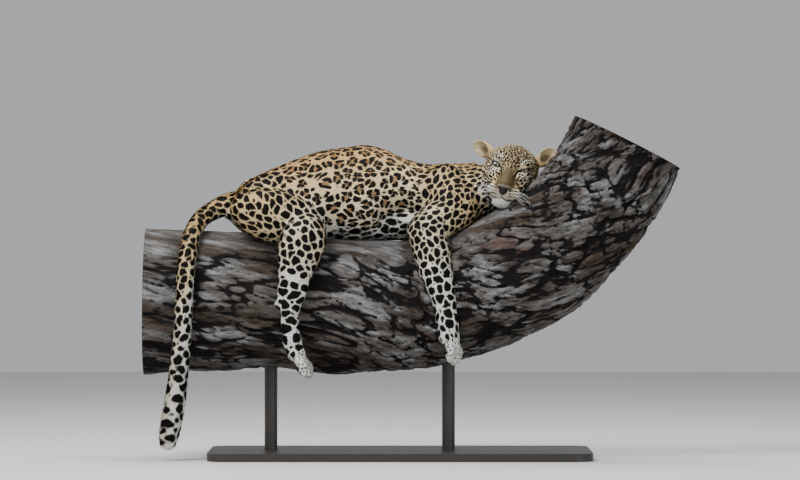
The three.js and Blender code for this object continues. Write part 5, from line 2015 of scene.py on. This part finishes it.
@dataclass
class Muzzle:
    """The nose pad, the lips, the whiskers and the brow hairs."""

    figure: Figure
    pad_step: float = 1.3

    def __post_init__(self) -> None:
        """Joins the face's forms."""
        head = self.figure.head()
        self.face = Flesh([f.settled(head) for f in self.figure.skull_forms() + self.figure.lid_forms()])

    def front(self, x: Array, z: Array) -> Array:
        """How far forward the face's skin is at places seen from in front, by steps of half a millimetre."""
        y = np.arange(112, -30, -0.5)
        grid = np.stack(np.broadcast_arrays(x[:, None], y[None], z[:, None]), axis=-1)
        value = self.face.values(self.figure.head().to_part(grid.reshape(-1, 3)))
        return y[(value.reshape(len(x), len(y)) < -1.6).argmax(axis=1)]

    def build(self, leather: bpy.types.Material, lip: bpy.types.Material, hair: bpy.types.Material) -> None:
        """Builds and dresses each of them."""
        head = self.figure.head()
        forms = [f.settled(head) for f in self.figure.pad_forms() + self.figure.nostril_forms()]
        lattice = Lattice.around(head.to_part((0, 74, -72)), 36, self.pad_step)
        points, faces = lattice.skin(Flesh(forms).values)
        q = head.from_part(points)
        pad = dress(mesh_piece("nose_leather", points, [faces], ["nose_pad"]), leather)
        # Painted light: the pad's upper side, facing the lamps, is marked to be paler.
        give_numbers(pad, top=smooth(-70, -62, q[:, 2] + 0.12 * np.abs(q[:, 0])))
        dress(self._lips().piece("lips", "nose"), lip)
        dress(self._whiskers().piece("whiskers", "coat"), hair)

    def _lips(self) -> Surface:
        """The two lips from the middle to each corner, and the groove below the nose, as thin tubes."""
        head = self.figure.head()
        rows = np.array(self.figure.mouth, float)
        tubes = []
        for s in (-1, 1):
            line = smooth_line(np.column_stack([rows, np.zeros(len(rows))]), np.linspace(0, 1, 26))
            x, z = s * line[:, 0], line[:, 1]
            path = np.stack([x, self.front(x, z) - 0.2, z], axis=1)
            thick = 2.1 * np.sin(np.linspace(0.5, np.pi - 0.08, 26))
            tubes.append(Surface.swept(head.to_part(path), thick, 8, tuple(head.axes[1])))
        z = np.linspace(-84, -98, 10)
        path = np.stack([z * 0, self.front(z * 0, z) - 0.3, z], axis=1)
        tubes.append(Surface.swept(head.to_part(path), np.full(10, 1.1), 8, tuple(head.axes[1])))
        return Surface.joined(tubes)

    def _whiskers(self) -> Surface:
        """Single hairs from four rows on each side of the muzzle, and over the eyes.

        A hair runs from its root r along its way w and sinks: r + w t L - (0, 0, 1) sag t^2 L.
        """
        head = self.figure.head()
        rng = np.random.default_rng(SEED + 1)
        rows = [(22 + 7 * k + 1.5 * n, -64 - 7.5 * n, 50 + 15 * k) for n in range(4) for k in range(3)]
        spots = [(s * x, z, s, long, 0.24) for s in (-1, 1) for x, z, long in rows]
        spots += [(s * (30 + 5 * k), 25 + 1.5 * k, s, 46, -0.5) for s in (-1, 1) for k in range(3)]
        hairs = []
        t = np.linspace(0, 1, 9)[:, None]
        for x, z, s, long, droop in spots:
            root = np.array([x, self.front(np.array([float(x)]), np.array([float(z)]))[0] - 1.0, z])
            way = unit(np.array([s * (0.95 + 0.2 * rng.normal()), 0.55, -droop + 0.12 * rng.normal()]))
            run = long * rng.uniform(0.8, 1.15)
            path = head.to_part(root + way * t * run) - np.array([0, 0, 1]) * 0.22 * run * t**2
            hairs.append(Surface.swept(path, 0.26 * (1 - 0.85 * t[:, 0]), 4, (0, 0.2, 1)))
        return Surface.joined(hairs)


@dataclass
class Ears:
    """The two ears: cups with pale hair inside, and black backs with a white spot."""

    figure: Figure
    coat: Coat
    step: float = 1.8
    count: int = 9000

    def build(self) -> None:
        """Both ears and their tufts."""
        head = self.figure.head()
        for side, place in self.figure.ear_places().items():
            spot = place.within(head)
            flesh = Flesh([f.settled(spot) for f in self.figure.ear_forms()])
            middle = spot.to_part((0, 0, 12))
            points, faces = Lattice.around(middle, 46, self.step).skin(lambda p: flesh.values(p) + 0.9)
            _, rise = flesh.values_and_slopes(points)
            out = unit(rise)
            skin = mesh_piece(f"ear_{side}_skin", points, [faces], [f"ear_{side}"])
            dress(skin, self.coat.material)
            numbers = self.numbers(spot.from_part(points), out @ spot.axes.T)
            # The ear's skin under the hair carries painted shade, as the body's skin does.
            give_numbers(skin, **numbers, shade=np.full(len(points), 0.8))
            self._tufts(side, spot, points, faces, out)

    def numbers(self, q: Array, out: Array) -> dict[str, Array]:
        """The coat's numbers at points of an ear, in its own axes.

        The inside is pale and its rim tawny. Its depth is darkened towards tan and bare skin as painted
        shade in the cup. The back is black with a white spot.
        """
        rim = np.hypot(q[:, 0] / 18, (q[:, 2] - 18) / 30) * 10 - 9
        inner = smooth(0.0, 0.35, out[:, 1]) * smooth(3.0, -1.0, rim)
        # The cup's depth, where its painted shade goes.
        deep = bell(np.hypot(q[:, 0] / 10, (q[:, 2] - 4) / 24), 0.55) * smooth(0, 0.3, out[:, 1])
        back = smooth(-0.05, -0.35, out[:, 1]) * smooth(-14, -4, q[:, 2])
        spot = bell(np.hypot(q[:, 0], q[:, 2] - 28), 8)
        return {
            "tone": 0.2 + 0.25 * inner + back * 0.7 * spot,
            "tan": inner * (0.25 + 0.55 * smooth(0.1, 0.7, deep)),
            "bare": 0.3 * smooth(0.5, 0.95, deep),
            "mark": back * (1 - 2.2 * spot) * 8 - 4,
            "heart": np.full(len(q), -6.0),
        }

    def _tufts(self, side: str, spot: Place, points: Array, faces: Array, out: Array) -> None:
        """One ear's hairs: short on the back, long and loose inside, all towards the tip."""
        rng = np.random.default_rng(SEED + 2)
        a, b, c, d = (points[faces[:, k]] for k in range(4))
        area = np.linalg.norm(np.cross(c - a, d - b), axis=1).sum() / 2
        strewn = Spread.over(points, faces, np.full(len(points), self.count / area), rng)
        p, n = strewn.take(points), unit(strewn.take(out))
        q, turned_out = spot.from_part(p), n @ spot.axes.T
        numbers = self.numbers(q, turned_out)
        inner = smooth(0.1, 0.5, turned_out[:, 1])
        toward = spot.axes[2] + spot.axes[0] * (q[:, :1] / 40) + spot.axes[1] * (0.8 * inner[:, None])
        way = unit(toward - n * dot(toward, n)[:, None] * (1 - 0.5 * inner[:, None]))
        numbers["mark"] = numbers["mark"] + rng.normal(0, 1.2, len(p))
        numbers["tone"] = numbers["tone"] + rng.normal(0, 0.08, len(p))
        numbers["shade"] = rng.uniform(0.78, 1.12, len(p))
        tufts = Tufts(
            root=p,
            way=way,
            out=n,
            length=(4.5 + 9.5 * inner) * rng.uniform(0.7, 1.3, len(p)),
            width=(1.5 - 0.5 * inner) * rng.uniform(0.8, 1.2, len(p)),
            lift=rng.uniform(0.4, 0.9, len(p)),
            numbers=numbers,
        )
        chart = np.stack([q[:, 0] / 110 + 0.25 + 0.5 * (turned_out[:, 1] > 0), q[:, 2] / 90 + 0.4], axis=1)
        tufts.piece(f"coat_ear_{side}", chart, self.coat.material)


@dataclass
class Claws:
    """The tips of the claws, which show just past the fur of each toe."""

    figure: Figure
    length: float = 9.0
    thick: float = 2.4

    def build(self, horn: bpy.types.Material) -> bpy.types.Object:
        """Sixteen hooked cones: forward t L, down 0.45 t^2 L, with radius thick (1 - t)^0.7."""
        t = np.linspace(0, 0.97, 9)
        hooks = []
        for place, wide in self.figure.paws().values():
            for x, long in self.figure.toes(wide):
                ahead, down = long * 0.92 + 10 + t * self.length, 3 - 0.45 * t**2 * self.length
                path = place.to_part(np.stack([x * 1.06 + t * 0, ahead, down], axis=1))
                hooks.append(Surface.swept(path, self.thick * (1 - t) ** 0.7, 8, tuple(place.axes[2])))
        return dress(Surface.joined(hooks).piece("claws", "nose"), horn)


# ---- The perch, its stand and the studio


@dataclass
class Perch:
    """The cut length of limb that the animal lies along, with its bark and its sawn ends."""

    rows: tuple[tuple[float, ...], ...] = (
        (-790, 0, 489, 222, 178), (-465, 0, 484, 214, 178), (-155, 0, 474, 206, 180), (60, -6, 474, 200, 184),
        (210, -40, 506, 196, 192), (345, -78, 572, 194, 200), (470, -96, 660, 190, 200),
        (565, -100, 755, 187, 196), (642, -100, 860, 185, 192), (700, -100, 975, 184, 190),
    )
    square: float = 2.3
    rings: int = 380
    sides: int = 250
    furrow: float = 15.0
    twist: float = 620.0
    length: float = 1750

    def axes_at(self, t: Array) -> tuple[Array, Array, Array, Array]:
        """The limb's middle line, its side and lift, and its half height and half width."""
        rows = np.array(self.rows)
        line, after, before = (smooth_line(rows[:, :3], np.clip(t + e, 0, 1)) for e in (0, 1e-4, -1e-4))
        along = unit(after - before)
        side = unit(np.cross((0, 0, 1), along))
        high, wide = (np.interp(t * (len(rows) - 1), np.arange(len(rows)), rows[:, c]) for c in (3, 4))
        return line, side, np.cross(along, side), np.stack([high, wide], axis=1)

    def buried(self, p: Array) -> Array:
        """Which points are inside the limb: (|u| / wide)^n + (|v| / high)^n below one, n its squareness."""
        middle, side, lift, half = self.axes_at(np.linspace(0, 1, 160))
        inside = np.zeros(len(p), bool)
        for lot in lots(len(p)):
            square = dot(middle, middle) - 2 * p[lot] @ middle.T
            best = square.argmin(axis=1)
            off = p[lot] - middle[best]
            u, v = np.abs(dot(off, side[best])), np.abs(dot(off, lift[best]))
            inside[lot] = (u / half[best, 1]) ** self.square + (v / half[best, 0]) ** self.square < 0.93
        return inside

    def relief(self, unbent: Array, angle: Array) -> Array:
        """How deep the bark is cut, at points of the limb as it would be if it ran straight.

        Ridged noise, 1 - |n|, is stretched along the limb, so that furrows run its way and join. It is
        raised to a power, so that plates stay flat between furrows, and added in four sizes. The
        bark is worn where the animal lies.
        """
        slow = noise(unbent, 170, 21)
        u = unbent * (0.34, 1, 1) + np.stack([40 * slow, 26 * slow, 18 * noise(unbent, 90, 27)], axis=1)
        big = (1 - np.abs(noise(u, 34, 22))) ** 6
        crossing = (1 - np.abs(noise(unbent * (0.8, 1, 1) + 20 * slow[:, None], 60, 23))) ** 9
        middle = (1 - np.abs(noise(u, 15, 24))) ** 4.5
        small = (1 - np.abs(noise(u * (1.3, 1, 1), 7.5, 25))) ** 3
        flaked = smooth(0.0, 0.5, noise(unbent, 70, 26))
        worn = 1 - 0.8 * smooth(0.5, 0.9, np.sin(angle)) * smooth(1250, 1050, unbent[:, 0])
        cut = 0.66 * big + 0.34 * crossing + 0.5 * middle * (1 - 0.3 * flaked) + 0.2 * small + 0.1 * flaked
        return self.furrow * cut * worn - 1.6 * worn

    def build(self, bark: bpy.types.Material, sawn: bpy.types.Material) -> None:
        """The bark as a closed tube, and a sawn disc set into each end.

        Its section is a superellipse, |cos a|^(2/n) by |sin a|^(2/n), with slow swellings below. The
        grain winds round the limb, by x / twist at x along it.
        """
        t = np.repeat(np.linspace(0, 1, self.rings + 1), self.sides)
        a = np.tile(np.arange(self.sides) * 2 * np.pi / self.sides, self.rings + 1)
        middle, side, lift, half = self.axes_at(t)
        under = 0.5 - 0.5 * np.sin(a)
        x = middle[:, 0]
        swell = 1 + under * (0.035 * np.sin(x / 95 + 2 * a) + 0.02 * np.sin(x / 48 - 3 * a + 1))
        power = 2 / self.square
        u = np.sign(np.cos(a)) * np.abs(np.cos(a)) ** power * half[:, 1] * swell
        v = np.sign(np.sin(a)) * np.abs(np.sin(a)) ** power * half[:, 0] * swell
        off = side * u[:, None] + lift * v[:, None]
        turn = -t * self.length / self.twist
        across, up = u * np.cos(turn) - v * np.sin(turn), u * np.sin(turn) + v * np.cos(turn)
        unbent = np.stack([t * self.length, across, up], axis=1)
        depth = self.relief(unbent, a)
        fade = smooth(0, 0.006, t) * smooth(1, 0.994, t)
        points = middle + off - unit(off) * (depth * (0.35 + 0.65 * fade))[:, None]
        rings = points.reshape(self.rings + 1, self.sides, 3)
        surface = Surface.tube(rings, rings[0].mean(axis=0), rings[-1].mean(axis=0))
        piece = dress(surface.piece("limb_bark", "bark", ["perch_limb"]), bark, sawn)
        # How deep each point lies in a furrow, which the bark's material paints as shade.
        deep = np.append(np.clip(depth / self.furrow, 0, 1), [0, 0])
        give_numbers(piece, deep=deep, from_pith=np.append(np.ones(len(points)), [0, 0]))
        straight = piece.data.attributes.new("unbent", "FLOAT_VECTOR", "POINT")
        unbent = np.vstack([unbent, np.zeros((2, 3))]) * METRES
        straight.data.foreach_set("vector", unbent.astype(np.float32).ravel())
        finish = np.repeat(np.array([0, 1], np.int32), [len(surface.quads), len(surface.triangles)])
        piece.data.polygons.foreach_set("material_index", finish)


@dataclass
class Stand:
    """The plain display stand: the solids themselves, in satin paint."""

    nodes: tuple[str, ...] = ("stand_base", "stand_rod_rear", "stand_rod_front")

    def build(self, paint: bpy.types.Material) -> None:
        """Paints the base and the rods."""
        for name in self.nodes:
            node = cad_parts[name]
            node.data.materials.clear()
            node.data.materials.append(paint)


@dataclass(frozen=True)
class Lamp:
    """A square light, in metres and watts."""

    name: str
    at: Triple
    size: float
    power: float


@dataclass
class Studio:
    """The pale floor, the soft lights and the camera, in metres."""

    floor: tuple[Triple, ...] = ((-9, -16, 0), (9, -16, 0), (9, 9, 0), (-9, 9, 0))
    floor_light: Triple = (0.6, 0.59, 0.57)
    sky_light: Triple = (0.82, 0.84, 0.86)
    sky_strength: float = 0.55
    lamps: tuple[Lamp, ...] = (
        Lamp("key", (-2.2, -3.0, 4.2), 2.2, 340),
        Lamp("fill", (3.4, -4.2, 2.2), 3.0, 90),
        Lamp("top", (0.2, 0.6, 4.6), 3.2, 210),
    )
    aim: Triple = (0, 0, 0.65)
    distance: float = 13.78
    eye_height: float = 0.675
    lens: float = 200.0
    sensor: float = 36.0
    farthest: float = 100.0

    def build(self) -> None:
        """Sets up the floor, the lights, the world's light and the camera."""
        mesh = bpy.data.meshes.new("floor")
        mesh.from_pydata(self.floor, [], [(0, 1, 2, 3)])
        floor = self._placed("floor", mesh, (0, 0, 0))
        paint, nodes = new_material("pale_floor")
        nodes.finish({"Base Color": (*self.floor_light, 1)})
        dress(floor, paint)
        for lamp in self.lamps:
            light = bpy.data.lights.new(lamp.name, "AREA")
            light.energy, light.size = lamp.power, lamp.size
            way = Vector(np.array(self.aim) - np.array(lamp.at))
            self._placed(lamp.name, light, lamp.at).rotation_euler = way.to_track_quat("-Z", "Y").to_euler()
        world = bpy.context.scene.world or bpy.data.worlds.new("world")
        bpy.context.scene.world = world
        world.use_nodes = True
        sky = world.node_tree.nodes["Background"].inputs
        sky["Color"].default_value = (*self.sky_light, 1)
        sky["Strength"].default_value = self.sky_strength
        camera = bpy.data.cameras.new("camera")
        camera.lens, camera.sensor_width, camera.clip_end = self.lens, self.sensor, self.farthest
        eye = self._placed("camera", camera, (0, -self.distance, self.eye_height))
        eye.rotation_euler = (np.pi / 2, 0, 0)
        bpy.context.scene.camera = eye

    @staticmethod
    def _placed(name: str, data: bpy.types.ID, at: Triple) -> bpy.types.Object:
        """A new object in the scene."""
        item = bpy.data.objects.new(name, data)
        item.location = at
        bpy.context.scene.collection.objects.link(item)
        return item


def main() -> None:
    """Builds the animal, its perch, its stand and the studio, in that order."""
    logging.basicConfig(level=logging.INFO, format="%(message)s")
    figure = Figure()
    perch = Perch()
    hide = Hide(figure)
    hide.grow()
    coat = Coat(figure, hide, Lie(figure), CoatFinish().material("fur"))
    coat.build_skin()
    coat.build_tufts(perch.buried)
    lip = PlainFinish("dark_skin", (26, 20, 20), 0.42).material()
    Eyes(figure).build(EyeFinish().material(), lip)
    hair = PlainFinish("whisker_hair", (236, 232, 224), 0.4, grain=1500.0, relief=0.00005).material()
    Muzzle(figure).build(NoseFinish().material(), lip, hair)
    Ears(figure, coat).build()
    Claws(figure).build(PlainFinish("claw_horn", (84, 72, 60), 0.35).material())
    perch.build(BarkFinish().material(), SawnFinish().material())
    paint = PlainFinish("satin_paint", (40, 36, 33), 0.42, patch=14.0, swing=0.12, grain=900.0).material()
    Stand().build(paint)
    Studio().build()


if __name__ == "__main__":
    main()
